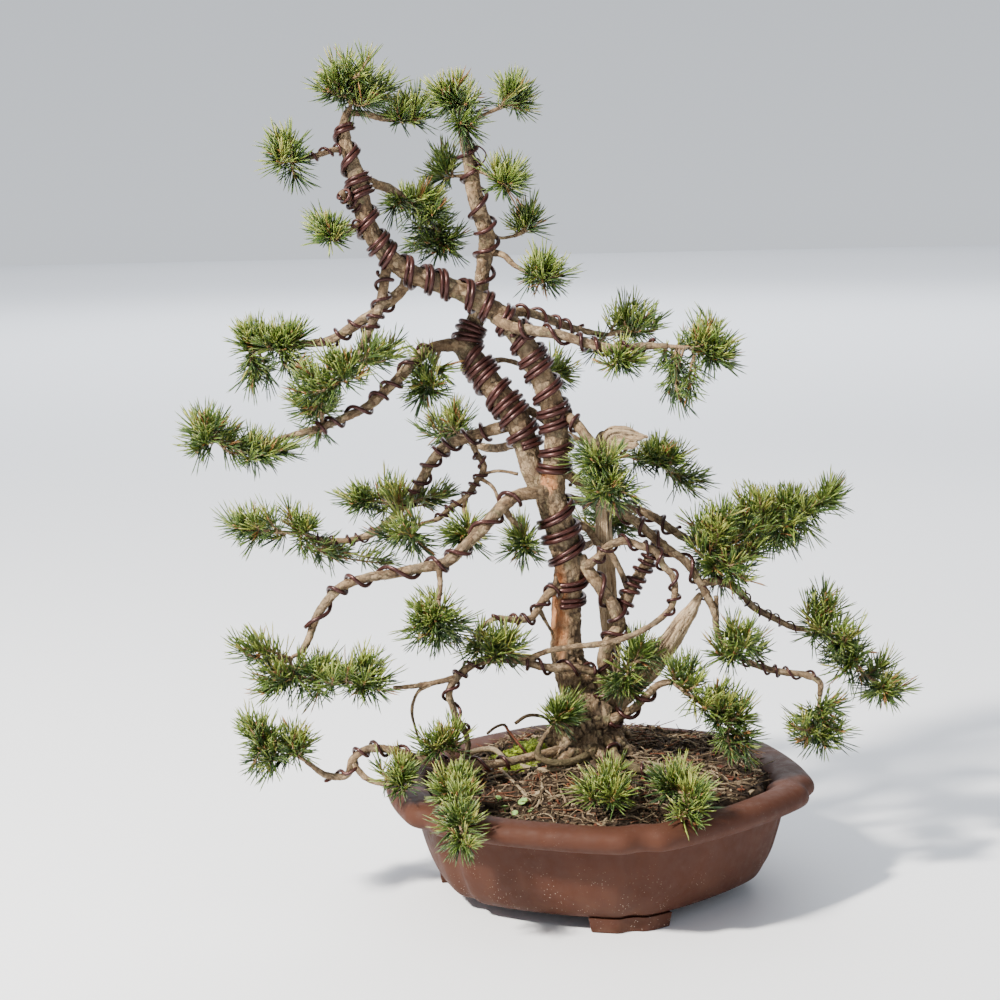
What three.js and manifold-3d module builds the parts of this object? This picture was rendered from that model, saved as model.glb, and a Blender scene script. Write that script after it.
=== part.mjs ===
// Scots pine bonsai with two crossing trunks, trained with wire, in a six-sided unglazed pot.
// Millimetres, +Z up. The origin is on the standing surface, under the middle of the whole tree.
import * as THREE from 'three';
import { mergeVertices } from 'three/addons/utils/BufferGeometryUtils.js';
import Module from 'manifold-3d';

const { degToRad, radToDeg, lerp } = THREE.MathUtils;

const wasm = await Module();
wasm.setup();

// Driving dimensions of the pot. Its corners are at these angles, in degrees, round its middle,
// with the first one given again a turn later.
const POT_HEIGHT = 113;
const POT_MIDDLE = [-6, -14];
const CORNERS = [-81, -14, 37, 99, 166, 217, 279];
const SIDE_FLATNESS = 0.6;
const NOTCH_DEPTH = 9;
const NOTCH_WIDTH = 3.4;
const FOOT_CORNERS = [-81, 37, 166];
const FOOT_HEIGHT = 12;
const FOOT_OUTER_RADIUS = 167;
const FOOT_INNER_RADIUS = 132;
const FOOT_HALF_ANGLE = 15;
const FLOOR_TOP = 22;
const DRAIN_RADIUS = 13;
const DRAIN_SCREEN_SIZE = 44;
const DRAIN_SCREEN_THICKNESS = 1.2;
const DRAIN_SCREEN_HOLE = 8;
const DRAIN_SCREEN_PITCH = 11;

// Corner radius and height of the pot's section, from the middle of its underside round the lip
// and down to the middle of its floor
const RIM_RADIUS = 223;
const POT_SECTION = [
  [0, FOOT_HEIGHT], [160, FOOT_HEIGHT], [173, 25], [185, 54], [192, 87], [213, 91], [RIM_RADIUS, 98],
  [221, 107], [210, POT_HEIGHT], [190, 111], [180, 102], [176, 70], [163, 34], [145, FLOOR_TOP],
  [0, FLOOR_TOP],
];

// Soil: its corner radius and height up the wall, then how high it stands at the wall and
// at the top of the mound
const SOIL_SECTION = [[0, 22.4], [144.2, 22.4], [162.4, 34.4], [175.4, 70.2], [178.4, 95]];
const SOIL_EDGE = 100;
const SOIL_MOUND = 29;
const MOUND_MIDDLE = [15, 22];
const MOUND_RADIUS = 150;
const SOIL_RINGS = [0.985, 0.66, 0.3];

// The tree is laid out on an upright sheet, a metre square, that stands across the trunk.
// Each point is millimetres across from the sheet's left edge, millimetres down from its top,
// and millimetres behind the sheet, along the line of sight from the eye.
const SHEET_MIDDLE = 500;
const EYE = new THREE.Vector3(-97, -2047, 672);
const EYE_TO_SHEET = 2083;
const EYE_TILT = degToRad(7.9);
const SHEET_LEAN = degToRad(1.2);

// Moves everything so that the origin is under the middle of the whole tree
const ORIGIN_SHIFT = [53, -4, 0];

const CLEARANCE = 0.35;
const WIRE_STANDOFF = 1.3;
const NEEDLE_SHORTEST = 21;
const NEEDLE_LONGEST = 29;
const NEEDLE_REACH = 17;
const NEEDLE_GAP = 2.6;
const SAME_SPRAY_GAP = 1.2;
const FORWARD_SWEEP = 0.3;
const NEEDLE_SHARE = 0.5;
const BUD_RADIUS = 1.8;
const BUD_HALF_LENGTH = 3.4;
const BUD_SHARE = 0.4;
const STEM_RADIUS = 2;
const TWIG_RADIUS = 1.3;
const SHORTEST_TWIG = 6;
const UPWARD_PULL = 0.35;
const UP = new THREE.Vector3(0, 0, 1);
const GOLDEN_ANGLE = Math.PI * (3 - Math.sqrt(5));

const clay = new THREE.MeshStandardMaterial({ color: '#7a4a3c', roughness: 0.85 });
const earth = new THREE.MeshStandardMaterial({ color: '#5a4a3a', roughness: 1 });
const mossGreen = new THREE.MeshStandardMaterial({ color: '#8fae2c', roughness: 1 });
const bark = new THREE.MeshStandardMaterial({ color: '#9c8a72', roughness: 0.9 });
const wire = new THREE.MeshStandardMaterial({ color: '#6b3a34', roughness: 0.4, metalness: 0.7 });
const screen = new THREE.MeshStandardMaterial({ color: '#3c4a40', roughness: 0.7 });
const needleGreen = new THREE.MeshStandardMaterial({ color: '#6f8438', roughness: 0.7 });

// Wood: name, sides, bark relief and the route, each point with the limb's radius there
const LIMBS = [
  ['root_stock', 9, 0.1, [[590, 800, 14, 30], [590, 765, 13, 37], [586, 735, 12, 33],
    [583, 705, 12, 27], [578, 680, 12, 19], [570, 655, 12, 13]]],
  ['burr', 7, 0.12, [[598, 770, 8, 20], [600, 735, 4, 21], [595, 700, 2, 17], [584, 680, 6, 9]]],
  ['trunk', 9, 0.06, [[580, 700, 12, 18], [567, 660, 12, 15.5], [566, 633, 12, 15],
    [566, 602, 12, 14.5], [569, 566, 10, 14.5], [563, 541, 9, 15], [557, 518, 8, 15.5],
    [551, 497, 6, 15], [551, 480, 5, 12.5]]],
  ['left_trunk', 7, 0.05, [[552, 505, 8, 10], [541, 487, 12, 11], [532, 470, 16, 11.5],
    [526, 445, 20, 12.5], [519, 425, 22, 13], [508, 406, 26, 13], [494, 388, 32, 12.5],
    [478, 365, 38, 12], [466, 347, 42, 11.5], [470, 332, 44, 10.5], [477, 318, 46, 9.5],
    [480, 300, 46, 8.5], [482, 280, 44, 8], [485, 258, 40, 8], [487, 235, 34, 8], [480, 212, 28, 8],
    [474, 190, 24, 8], [471, 168, 20, 7], [467, 148, 17, 6.5], [463, 130, 15, 5], [460, 118, 14, 3.6]]],
  ['right_trunk', 7, 0.05, [[552, 500, 6, 13], [553, 478, 4, 12.5], [556, 455, 2, 12],
    [556, 430, 1, 12], [552, 405, 0, 12], [544, 382, 0, 12], [533, 358, 0, 11.5], [520, 336, 0, 11],
    [503, 318, 0, 10.5], [480, 302, 0, 10], [458, 290, -2, 9.5], [436, 282, -6, 9.5],
    [412, 274, -10, 9.5], [392, 260, -14, 9], [376, 240, -18, 9], [366, 220, -20, 9],
    [361, 198, -20, 9], [357, 178, -18, 8.5], [351, 160, -16, 7], [345, 140, -14, 6],
    [345, 122, -12, 5.2], [350, 108, -10, 4.2]]],
  ['dead_trunk', 5, 0.1, [[604, 720, 30, 12], [609, 680, 34, 10], [611, 640, 36, 9.5],
    [609, 600, 36, 9], [605, 560, 34, 8.5], [604, 520, 32, 8], [604, 480, 30, 7.5],
    [604, 450, 26, 6.5], [612, 434, 22, 7], [630, 434, 20, 5.5], [648, 437, 18, 1.6]]],
  ['peeled_branch', 5, 0.08, [[606, 715, 16, 9], [628, 690, 8, 11], [648, 668, 2, 12.5],
    [666, 646, -2, 11], [681, 624, -5, 8.5], [693, 606, -7, 6], [702, 594, -8, 3.6]]],
  ['live_vein', 5, 0.04, [[604, 712, 0, 10], [606, 680, -4, 8], [604, 655, -8, 7],
    [611, 638, -10, 6.5], [619, 626, -10, 6.5], [615, 609, -10, 6.5], [602, 590, -8, 6.5],
    [590, 573, -4, 6.5], [580, 556, 2, 6]]],
  ['loop_branch', 4, 0, [[586, 567, -4, 6], [598, 557, -12, 5], [609, 546, -20, 4.6],
    [624, 541, -26, 4.6], [641, 546, -30, 4.4], [655, 551, -33, 4.2], [663, 565, -36, 4],
    [673, 577, -38, 3.8], [675, 592, -40, 3.8], [671, 607, -42, 3.6], [656, 622, -42, 3.4],
    [630, 636, -40, 3.4], [600, 644, -36, 3.4], [572, 647, -32, 3.4], [548, 651, -30, 3.4],
    [526, 658, -32, 3.2], [508, 652, -34, 2.6]]],
  ['low_left_branch', 4, 0, [[604, 690, -4, 6], [593, 672, -14, 5.5], [572, 668, -22, 5.2],
    [545, 667, -26, 5], [515, 660, -30, 4.6], [480, 662, -36, 4.4], [458, 676, -40, 4.4],
    [449, 692, -40, 4.2], [453, 707, -38, 4], [457, 720, -36, 4.6], [465, 732, -32, 3.8],
    [468, 748, -26, 3.4], [463, 764, -18, 3]]],
  ['low_left_reach', 4, 0, [[458, 677, -40, 4], [438, 682, -44, 3.4], [415, 686, -48, 3],
    [393, 688, -50, 2.6]]],
  ['mid_left_branch', 4, 0, [[570, 584, 4, 5.5], [552, 591, -8, 5.2], [541, 604, -14, 4.8],
    [531, 618, -18, 4.4], [514, 620, -22, 3.6], [496, 618, -26, 3.2], [484, 625, -28, 2.8],
    [474, 634, -30, 2.4]]],
  ['long_left_branch', 5, 0, [[550, 492, 2, 9], [530, 493, -14, 8.5], [514, 497, -20, 8],
    [500, 509, -26, 7.5], [484, 527, -34, 7], [466, 545, -42, 6.5], [446, 562, -48, 6.4],
    [420, 568, -52, 6], [392, 574, -56, 5.6], [366, 578, -60, 5.4], [343, 586, -62, 5.4],
    [328, 600, -62, 5.2], [316, 618, -62, 4.8], [309, 638, -62, 4.4], [302, 652, -62, 3.4]]],
  ['hanging_twig', 4, 0, [[438, 565, -50, 4], [440, 582, -54, 3.4], [439, 600, -58, 2.8]]],
  ['lower_left_branch', 5, 0, [[512, 424, 26, 8], [492, 430, 34, 7.5], [468, 437, 42, 7],
    [447, 446, 50, 6.6], [432, 461, 56, 6.2], [422, 480, 62, 6], [412, 497, 66, 5.2],
    [398, 512, 70, 5], [384, 526, 72, 4.6], [366, 536, 74, 4.4], [344, 541, 76, 4.2],
    [322, 540, 78, 3.6], [306, 534, 80, 3]]],
  ['inner_twig', 4, 0, [[470, 438, 42, 4.4], [476, 452, 38, 3.8], [484, 467, 34, 3.8],
    [476, 482, 30, 3.4], [465, 498, 28, 3.6], [450, 508, 26, 3.2], [438, 519, 24, 3],
    [424, 523, 22, 2.4]]],
  ['inner_drop', 4, 0, [[466, 497, 28, 3], [464, 512, 24, 2.6], [467, 526, 20, 2.2]]],
  ['under_twig', 4, 0, [[504, 507, -22, 4.4], [511, 519, -14, 3.4], [521, 527, -8, 3],
    [526, 538, -4, 2.4]]],
  ['upper_left_branch', 5, 0, [[468, 346, 40, 8.5], [448, 345, 30, 7.5], [430, 349, 22, 6.6],
    [414, 362, 12, 6.4], [399, 378, 4, 6.2], [384, 392, -4, 5.8], [368, 406, -12, 5.4],
    [346, 417, -20, 5], [322, 427, -28, 4.4], [298, 434, -36, 4], [272, 442, -44, 3.8],
    [250, 450, -50, 3.6], [232, 447, -54, 3.2], [216, 441, -58, 2.6]]],
  ['cross_left_branch', 4, 0, [[388, 262, -14, 6.5], [384, 283, -22, 6], [381, 302, -28, 5.6],
    [373, 322, -32, 5.2], [363, 344, -36, 4.8], [356, 361, -38, 3.4]]],
  ['back_left_branch', 4, 0, [[410, 274, -8, 7], [402, 290, 4, 6.8], [386, 304, 12, 6.4],
    [366, 318, 20, 6], [348, 330, 28, 5.8], [328, 341, 34, 5.4], [302, 344, 40, 4.4],
    [278, 349, 46, 3.4]]],
  ['top_left_twig', 4, 0, [[348, 150, -16, 3.8], [334, 150, -22, 3.4], [318, 155, -28, 3],
    [302, 159, -34, 2.6], [292, 162, -38, 2]]],
  ['wired_stub', 4, 0, [[358, 206, -20, 6], [347, 198, -30, 4.6], [341, 192, -36, 3.4]]],
  ['small_left_twig', 4, 0, [[362, 222, -22, 4], [352, 229, -32, 3.2], [342, 237, -40, 2.4]]],
  ['back_top_branch', 4, 0, [[358, 176, -16, 6.5], [372, 183, 0, 6], [388, 188, 16, 5.4],
    [400, 194, 28, 3.8]]],
  ['crown_branch', 4, 0, [[350, 113, -12, 4], [366, 114, -2, 3.6], [383, 119, 6, 3.2],
    [400, 121, 12, 2.4]]],
  ['top_right_twig', 4, 0, [[489, 252, 38, 4.4], [503, 255, 30, 3.6], [514, 265, 22, 3.2],
    [528, 273, 16, 2.4]]],
  ['thin_right_twig', 4, 0, [[488, 236, 34, 2.8], [502, 238, 44, 2], [514, 236, 52, 1.6]]],
  ['peg_left', 4, 0, [[472, 176, 22, 3.4], [462, 176, 30, 2.4], [454, 176, 36, 1.8]]],
  ['peg_right', 4, 0, [[472, 168, 20, 4], [484, 172, 12, 3.2], [496, 180, 4, 2.2]]],
  ['tip_right', 4, 0, [[464, 124, 15, 3.2], [476, 118, 22, 2.4], [490, 112, 30, 1.9]]],
  ['high_right_branch', 4, 0, [[503, 316, 4, 6.5], [520, 312, 22, 5.6], [540, 316, 38, 5],
    [560, 324, 52, 4.6], [584, 331, 64, 4], [606, 335, 74, 3]]],
  ['right_branch', 4, 0, [[494, 318, -4, 7], [512, 327, -18, 6.4], [536, 331, -28, 6],
    [560, 335, -36, 5.6], [586, 343, -42, 5.4], [614, 349, -46, 5], [644, 346, -50, 4.4],
    [668, 346, -54, 3.4]]],
  ['straight_right_branch', 4, 0, [[560, 414, 0, 7], [572, 420, -10, 6.2], [584, 433, -18, 5.6],
    [597, 447, -24, 4.2]]],
  ['back_link', 4, 0, [[512, 402, 28, 5.5], [532, 412, 42, 4.6], [552, 426, 48, 4.4],
    [572, 437, 50, 4], [588, 445, 54, 3]]],
  ['behind_twig', 4, 0, [[482, 366, 40, 4], [500, 360, 52, 3.2], [516, 363, 58, 2.8],
    [530, 372, 62, 2.2]]],
  ['mid_right_branch', 4, 0, [[556, 468, 6, 7], [572, 477, 18, 6], [588, 491, 22, 5.6],
    [610, 507, 14, 5.4], [634, 520, 2, 5.4], [652, 536, -8, 5.4], [668, 549, -14, 5.2],
    [686, 562, -20, 5], [698, 580, -22, 4.8], [706, 594, -20, 4.6], [714, 612, -20, 4.2],
    [717, 630, -22, 3.6], [722, 642, -24, 2.8]]],
  ['far_right_branch', 4, 0, [[556, 496, 12, 6.5], [580, 501, 40, 5.4], [606, 504, 56, 5.2],
    [632, 508, 50, 5.2], [654, 517, 38, 5.2], [672, 530, 26, 5], [694, 541, 16, 4.6],
    [720, 538, 10, 4], [748, 528, 6, 3.2]]],
  ['bound_branch', 4, 0, [[614, 616, 0, 8], [626, 600, 6, 7], [634, 583, 10, 6.6],
    [645, 566, 10, 6.4], [655, 551, 8, 6.2], [668, 549, -4, 5.4]]],
  ['strut_branch', 4, 0, [[570, 524, 12, 5.5], [586, 528, 22, 4.4], [598, 543, 20, 4.2],
    [611, 554, 14, 4], [620, 570, 10, 3.8], [628, 590, 8, 3.6]]],
  ['outer_right_branch', 4, 0, [[700, 583, -21, 4.8], [722, 582, -10, 4.6], [740, 592, 2, 4.4],
    [753, 607, 12, 4.2], [772, 617, 18, 4], [792, 627, 22, 3.8], [808, 630, 24, 3]]],
  ['drooping_branch', 4, 0, [[722, 641, -24, 3], [738, 656, -28, 3], [758, 666, -32, 3.6],
    [782, 672, -36, 4], [806, 675, -40, 4], [820, 683, -42, 3.6], [820, 696, -42, 2.8]]],
  ['low_right_branch', 4, 0, [[602, 725, -6, 8], [620, 716, -16, 6], [634, 708, -24, 5],
    [648, 694, -32, 4.6], [660, 684, -38, 4.2], [672, 682, -44, 3.4]]],
  ['rear_branch', 4, 0, [[560, 560, 14, 7], [566, 552, 60, 6], [580, 548, 100, 5], [596, 540, 140, 4],
    [606, 530, 165, 3]]],
  ['rear_left_branch', 4, 0, [[522, 440, 22, 6.5], [500, 448, 70, 5.4], [480, 446, 110, 4.6],
    [462, 436, 145, 3.6]]],
  ['front_root_branch', 4, 0, [[600, 738, -8, 8], [610, 744, -30, 6], [616, 757, -52, 5.4],
    [632, 767, -70, 5], [652, 772, -84, 4.6], [668, 776, -96, 3.4]]],
  ['front_left_root_branch', 4, 0, [[598, 738, -12, 7], [594, 750, -34, 6], [574, 761, -48, 5.4],
    [552, 763, -54, 5], [538, 756, -52, 4.6], [541, 743, -46, 4], [549, 730, -40, 3]]],
  ['bottom_left_branch', 4, 0, [[572, 748, -12, 8], [535, 756, -38, 6], [495, 764, -54, 5.6],
    [460, 764, -62, 5.2], [425, 761, -68, 5], [396, 751, -72, 4.8], [368, 749, -74, 4.6],
    [353, 759, -74, 4.4], [347, 775, -74, 4.2], [326, 775, -74, 3.8], [306, 761, -74, 3]]],
  ['rim_twig', 4, 0, [[353, 764, -74, 3.8], [366, 778, -78, 3.4], [386, 785, -82, 2.6]]],
];

// Training wire: name, limb, where the turns start and stop as a share of the limb's length,
// number of turns, wire radius and corners to a turn
const WIRES = [
  ['wire_trunk', 'trunk', 0.44, 0.9, 4.5, 2.4, 6],
  ['wire_left_trunk', 'left_trunk', 0.15, 0.5, 9.5, 2.3, 6],
  ['wire_left_trunk_top', 'left_trunk', 0.55, 0.95, 6.5, 2, 6],
  ['wire_right_trunk', 'right_trunk', 0.06, 0.4, 8.5, 2.3, 6],
  ['wire_right_trunk_top', 'right_trunk', 0.44, 0.95, 11.5, 2.3, 6],
  ['wire_long_left', 'long_left_branch', 0.12, 0.92, 7.5, 1.9, 6],
  ['wire_upper_left', 'upper_left_branch', 0.14, 0.66, 6.5, 1.8, 6],
  ['wire_right', 'right_branch', 0.14, 0.9, 5.5, 1.8, 6],
];

// Foliage: name, the stem it grows along, and its bushes. Each bush is its middle on the sheet,
// half its width, half its height, how far behind the sheet it is, and how full it is.
const SPRAYS = [
  ['crown_top', [[350, 108, -10], [351, 96, -10], [347, 80, -8]], [[352, 84, 46, 44, -6, 6],
    [332, 84, 24, 24, -30, 2], [378, 92, 28, 28, 8, 3]]],
  ['crown_side', [[400, 121, 12], [410, 122, 14]], [[404, 112, 32, 28, 16, 4]]],
  ['second_top', [[460, 118, 14], [458, 106, 14], [456, 98, 12]], [[456, 100, 40, 34, 10, 6],
    [466, 128, 26, 22, 0, 2]]],
  ['second_top_right', [[490, 112, 30], [502, 107, 34], [514, 104, 38]], [[516, 98, 24, 22, 38, 3]]],
  ['top_left_tuft', [[292, 162, -38], [287, 160, -40]], [[281, 148, 16, 22, -40, 3],
    [294, 172, 14, 18, -38, 1]]],
  ['second_left', [[454, 176, 36], [447, 176, 40]], [[446, 171, 22, 14, 42, 2]]],
  ['second_right', [[496, 180, 4], [506, 186, 0]], [[506, 182, 28, 22, -2, 3]]],
  ['back_top', [[400, 194, 28], [412, 204, 40], [428, 220, 50], [444, 238, 54]],
    [[422, 206, 40, 28, 46, 5], [432, 240, 44, 34, 56, 6], [396, 208, 22, 22, 30, 1]]],
  ['thin_right', [[514, 236, 52], [524, 232, 56]], [[528, 231, 22, 20, 58, 2]]],
  ['top_right', [[528, 273, 16], [540, 277, 12]], [[544, 276, 34, 26, 10, 4]]],
  ['small_left', [[342, 237, -40], [330, 238, -46]], [[330, 234, 30, 24, -46, 3]]],
  ['back_left', [[278, 349, 46], [262, 350, 50], [250, 352, 52]], [[252, 343, 26, 22, 52, 3],
    [290, 338, 26, 20, 42, 2], [256, 376, 28, 26, 58, 3]]],
  ['cross_left', [[356, 361, -38], [346, 374, -42], [334, 384, -44]], [[384, 354, 34, 26, -34, 3],
    [344, 374, 34, 28, -44, 4], [308, 388, 32, 32, -48, 3]]],
  ['upper_left_mid', [[322, 421.5, -28], [320, 412, -30], [318, 406, -32]],
    [[312, 408, 34, 24, -34, 3], [322, 436, 30, 18, -26, 1]]],
  ['upper_left_end', [[216, 441, -58], [206, 440, -60]], [[206, 430, 28, 26, -60, 4],
    [204, 450, 26, 20, -66, 1], [226, 436, 18, 20, -48, 1]]],
  ['upper_left_under', [[250, 453.8, -50], [254, 457, -50]], [[262, 454, 28, 18, -50, 2]]],
  ['lower_left_top', [[398, 505.5, 70], [388, 503, 74], [368, 501, 78]], [[360, 500, 32, 24, 80, 3],
    [396, 500, 32, 20, 70, 3]]],
  ['lower_left_end', [[306, 534, 80], [280, 532, 86], [252, 531, 90]], [[304, 534, 24, 30, 82, 3],
    [250, 526, 38, 22, 90, 4], [330, 556, 36, 22, 84, 3]]],
  ['inner_left', [[424, 523, 22], [412, 530, 18]], [[396, 536, 36, 20, 12, 3],
    [420, 546, 22, 20, 16, 1]]],
  ['inner_drop_tuft', [[467, 526, 20], [467, 533, 18]], [[466, 538, 26, 24, 16, 3]]],
  ['under_tuft', [[526, 538, -4], [524, 544, -4]], [[520, 548, 28, 22, -2, 3]]],
  ['gap_left', [[440, 350, 25], [432, 372, 16], [428, 384, 12]], [[426, 388, 28, 26, 8, 4]]],
  ['behind_trunk', [[530, 372, 62], [546, 372, 66]], [[558, 372, 28, 26, 68, 3]]],
  ['high_right', [[606, 335, 74], [624, 330, 80]], [[636, 322, 40, 30, 84, 5],
    [590, 348, 34, 18, 60, 1]]],
  ['right_end', [[668, 346, -54], [690, 348, -58], [708, 350, -60]], [[704, 336, 30, 28, -58, 3],
    [718, 356, 28, 30, -62, 3], [672, 362, 26, 20, -50, 1], [680, 390, 30, 24, -56, 3]]],
  ['right_under', [[616, 354.6, -46], [618, 360, -46]], [[616, 364, 32, 18, -46, 2]]],
  ['straight_right', [[597, 447, -24], [604, 462, -30], [608, 482, -34]], [[600, 464, 38, 30, -32, 5],
    [612, 492, 40, 30, -38, 5]]],
  ['back_right', [[588, 445, 54], [612, 450, 58], [640, 460, 60], [664, 466, 62]],
    [[662, 458, 34, 24, 62, 4], [694, 484, 26, 24, 58, 2]]],
  ['right_mass_inner', [[706, 541, 8], [712, 552, -4], [722, 566, -12]], [[712, 534, 40, 40, 0, 6],
    [728, 572, 40, 32, -16, 5]]],
  ['right_mass_outer', [[748, 528, 6], [772, 522, 4], [798, 512, 2], [816, 505, 0]],
    [[752, 508, 36, 32, 4, 5], [792, 516, 38, 34, 0, 6], [830, 494, 26, 24, 0, 2]]],
  ['outer_right', [[808, 630, 24], [822, 630, 24], [840, 650, 22], [862, 672, 20], [880, 684, 18]],
    [[824, 604, 32, 28, 24, 4], [836, 636, 46, 24, 24, 4], [846, 664, 32, 24, 20, 2],
    [886, 690, 32, 26, 18, 4]]],
  ['hanging_right', [[732, 653, -28.5], [736, 645, -30], [742, 642, -32]],
    [[740, 648, 40, 32, -32, 5]]],
  ['drooping_end', [[820, 696, -42], [818, 712, -42], [816, 726, -42]], [[816, 732, 42, 34, -42, 6],
    [832, 706, 20, 16, -36, 1]]],
  ['low_right', [[672, 682, -44], [688, 694, -50], [710, 708, -56], [730, 726, -60]],
    [[684, 678, 32, 26, -48, 3], [726, 712, 40, 30, -56, 5], [738, 746, 32, 30, -62, 3]]],
  ['near_trunk', [[618, 674, -12], [628, 666, -20], [640, 660, -26]], [[642, 656, 34, 26, -28, 3],
    [624, 686, 28, 28, -30, 3]]],
  ['long_left_end', [[302, 652, -62], [290, 660, -64], [300, 676, -66], [330, 682, -68],
    [364, 682, -68]], [[254, 650, 30, 30, -64, 3], [274, 684, 34, 28, -72, 3],
    [314, 678, 36, 34, -60, 4], [360, 680, 44, 32, -66, 5]]],
  ['hanging_left', [[439, 600, -58], [438, 612, -60], [436, 622, -60]], [[434, 626, 42, 40, -60, 8]]],
  ['mid_left', [[474, 634, -30], [482, 644, -32], [498, 650, -32]], [[496, 650, 44, 26, -32, 6]]],
  ['bottom_left', [[306, 761, -74], [290, 752, -76], [268, 744, -78]], [[254, 730, 28, 24, -80, 3],
    [292, 744, 32, 24, -70, 3], [266, 764, 28, 22, -86, 2]]],
  ['rim_left', [[386, 785, -82], [397, 782, -94]], [[402, 779, 22, 28, -102, 3]]],
  ['pot_left', [[455, 758.5, -63], [450, 752, -66], [442, 748, -70]], [[438, 746, 32, 30, -74, 3]]],
  ['front_right', [[668, 776, -96], [677, 788, -135], [686, 802, -175]], [[684, 792, 30, 26, -140, 3],
    [688, 818, 28, 32, -208, 2]]],
  ['base_tuft', [[549, 730, -40], [556, 722, -42]], [[564, 714, 24, 22, -44, 3]]],
  ['front_middle', [[622, 762, -60], [612, 776, -100], [606, 790, -138]],
    [[604, 794, 36, 24, -158, 5]]],
  ['front_left', [[478, 767, -56], [468, 784, -104], [461, 800, -159], [460, 822, -188],
    [463, 833, -196]], [[456, 796, 32, 28, -150, 3], [464, 832, 26, 34, -204, 3]]],
  ['rear', [[606, 530, 165], [612, 522, 176]], [[606, 522, 50, 36, 176, 6]]],
  ['rear_left', [[462, 436, 145], [452, 430, 154]], [[450, 430, 44, 34, 156, 5]]],
];

function seeded(seed) {
  let state = seed;
  return () => {
    state = (state + 0x6d2b79f5) | 0;
    let mixed = Math.imul(state ^ (state >>> 15), 1 | state);
    mixed = (mixed + Math.imul(mixed ^ (mixed >>> 7), 61 | mixed)) ^ mixed;
    return ((mixed ^ (mixed >>> 14)) >>> 0) / 4294967296;
  };
}

function onSheet(across, down, behind) {
  const right = (across - SHEET_MIDDLE) / EYE_TO_SHEET;
  const below = (down - SHEET_MIDDLE) / EYE_TO_SHEET;
  const levelRight = right * Math.cos(SHEET_LEAN) - below * Math.sin(SHEET_LEAN);
  const levelBelow = right * Math.sin(SHEET_LEAN) + below * Math.cos(SHEET_LEAN);
  const sight = new THREE.Vector3(
    levelRight,
    Math.cos(EYE_TILT) - levelBelow * Math.sin(EYE_TILT),
    -Math.sin(EYE_TILT) - levelBelow * Math.cos(EYE_TILT),
  );
  return EYE.clone().addScaledVector(sight, (behind - EYE.y) / sight.y);
}

function toSolid(geometry) {
  geometry.deleteAttribute('normal');
  geometry.deleteAttribute('uv');
  const merged = mergeVertices(geometry, 1e-4);
  return new wasm.Manifold(new wasm.Mesh({
    numProp: 3,
    vertProperties: new Float32Array(merged.attributes.position.array),
    triVerts: new Uint32Array(merged.index.array),
  }));
}

function toMesh(name, solid, material) {
  const { vertProperties, triVerts } = solid.getMesh();
  const geometry = new THREE.BufferGeometry();
  geometry.setAttribute('position', new THREE.BufferAttribute(new Float32Array(vertProperties), 3));
  geometry.setIndex(new THREE.BufferAttribute(new Uint32Array(triVerts), 1));
  geometry.computeVertexNormals();
  const mesh = new THREE.Mesh(geometry, material);
  mesh.name = name;
  return mesh;
}

// Only the largest body of a cut solid is kept, so a loose scrap is dropped
function largest(solid) {
  return solid.decompose().reduce((kept, body) => (body.volume() > kept.volume() ? body : kept));
}

// Distance of the pot's outline from its axis at an angle in degrees: between two corners the
// side bulges past the straight line, and a notch is cut at each corner
function lobed(radius, angle, notch) {
  const turn = ((((angle - CORNERS[0]) % 360) + 360) % 360) + CORNERS[0];
  const side = CORNERS.findIndex((corner, i) => turn < CORNERS[i + 1]);
  const half = (CORNERS[side + 1] - CORNERS[side]) / 2;
  const fromMiddle = turn - CORNERS[side] - half;
  const straight = Math.cos(degToRad(half)) / Math.cos(degToRad(fromMiddle));
  const dent = notch * Math.exp(-(((half - Math.abs(fromMiddle)) / NOTCH_WIDTH) ** 2));
  return radius * (1 - SIDE_FLATNESS + SIDE_FLATNESS * straight) - dent;
}

function onPot(radius, angle, notch) {
  const reach = lobed(radius, angle, notch);
  return [
    POT_MIDDLE[0] + reach * Math.cos(degToRad(angle)),
    POT_MIDDLE[1] + reach * Math.sin(degToRad(angle)),
  ];
}

// Shares of a side at which its outline has points, closest together at the notched corner
const SIDE_SHARES = [0, 0.07, 0.2, 0.4, 0.6, 0.8, 0.93];

// A turned solid whose rings are reshaped to the pot's outline, with a height for each point
function lobedSolid(section, heightAt = null, firstShaped = Infinity) {
  const pointsASide = SIDE_SHARES.length;
  const count = (CORNERS.length - 1) * pointsASide;
  const outline = section.map(([radius, height]) => new THREE.Vector2(radius, height));
  const geometry = new THREE.LatheGeometry(outline, count);
  const position = geometry.attributes.position;
  const rows = section.length;
  for (let i = 0; i < position.count; i += 1) {
    const column = Math.floor(i / rows) % count;
    const row = i % rows;
    const [radius, height] = section[row];
    const side = Math.floor(column / pointsASide);
    const angle = lerp(CORNERS[side], CORNERS[side + 1], SIDE_SHARES[column % pointsASide]);
    const [x, y] = radius < 1 ? POT_MIDDLE : onPot(radius, angle, (NOTCH_DEPTH * radius) / RIM_RADIUS);
    position.setXYZ(i, x, y, row >= firstShaped ? heightAt(x, y) : height);
  }
  return outward(geometry);
}

function outward(geometry) {
  let solid = toSolid(geometry);
  if (solid.volume() < 0 || solid.status() !== 'NoError') {
    const index = geometry.index;
    for (let i = 0; i < index.count; i += 3) {
      const first = index.getX(i);
      index.setX(i, index.getX(i + 1));
      index.setX(i + 1, first);
    }
    solid = toSolid(geometry);
  }
  return solid;
}

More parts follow.
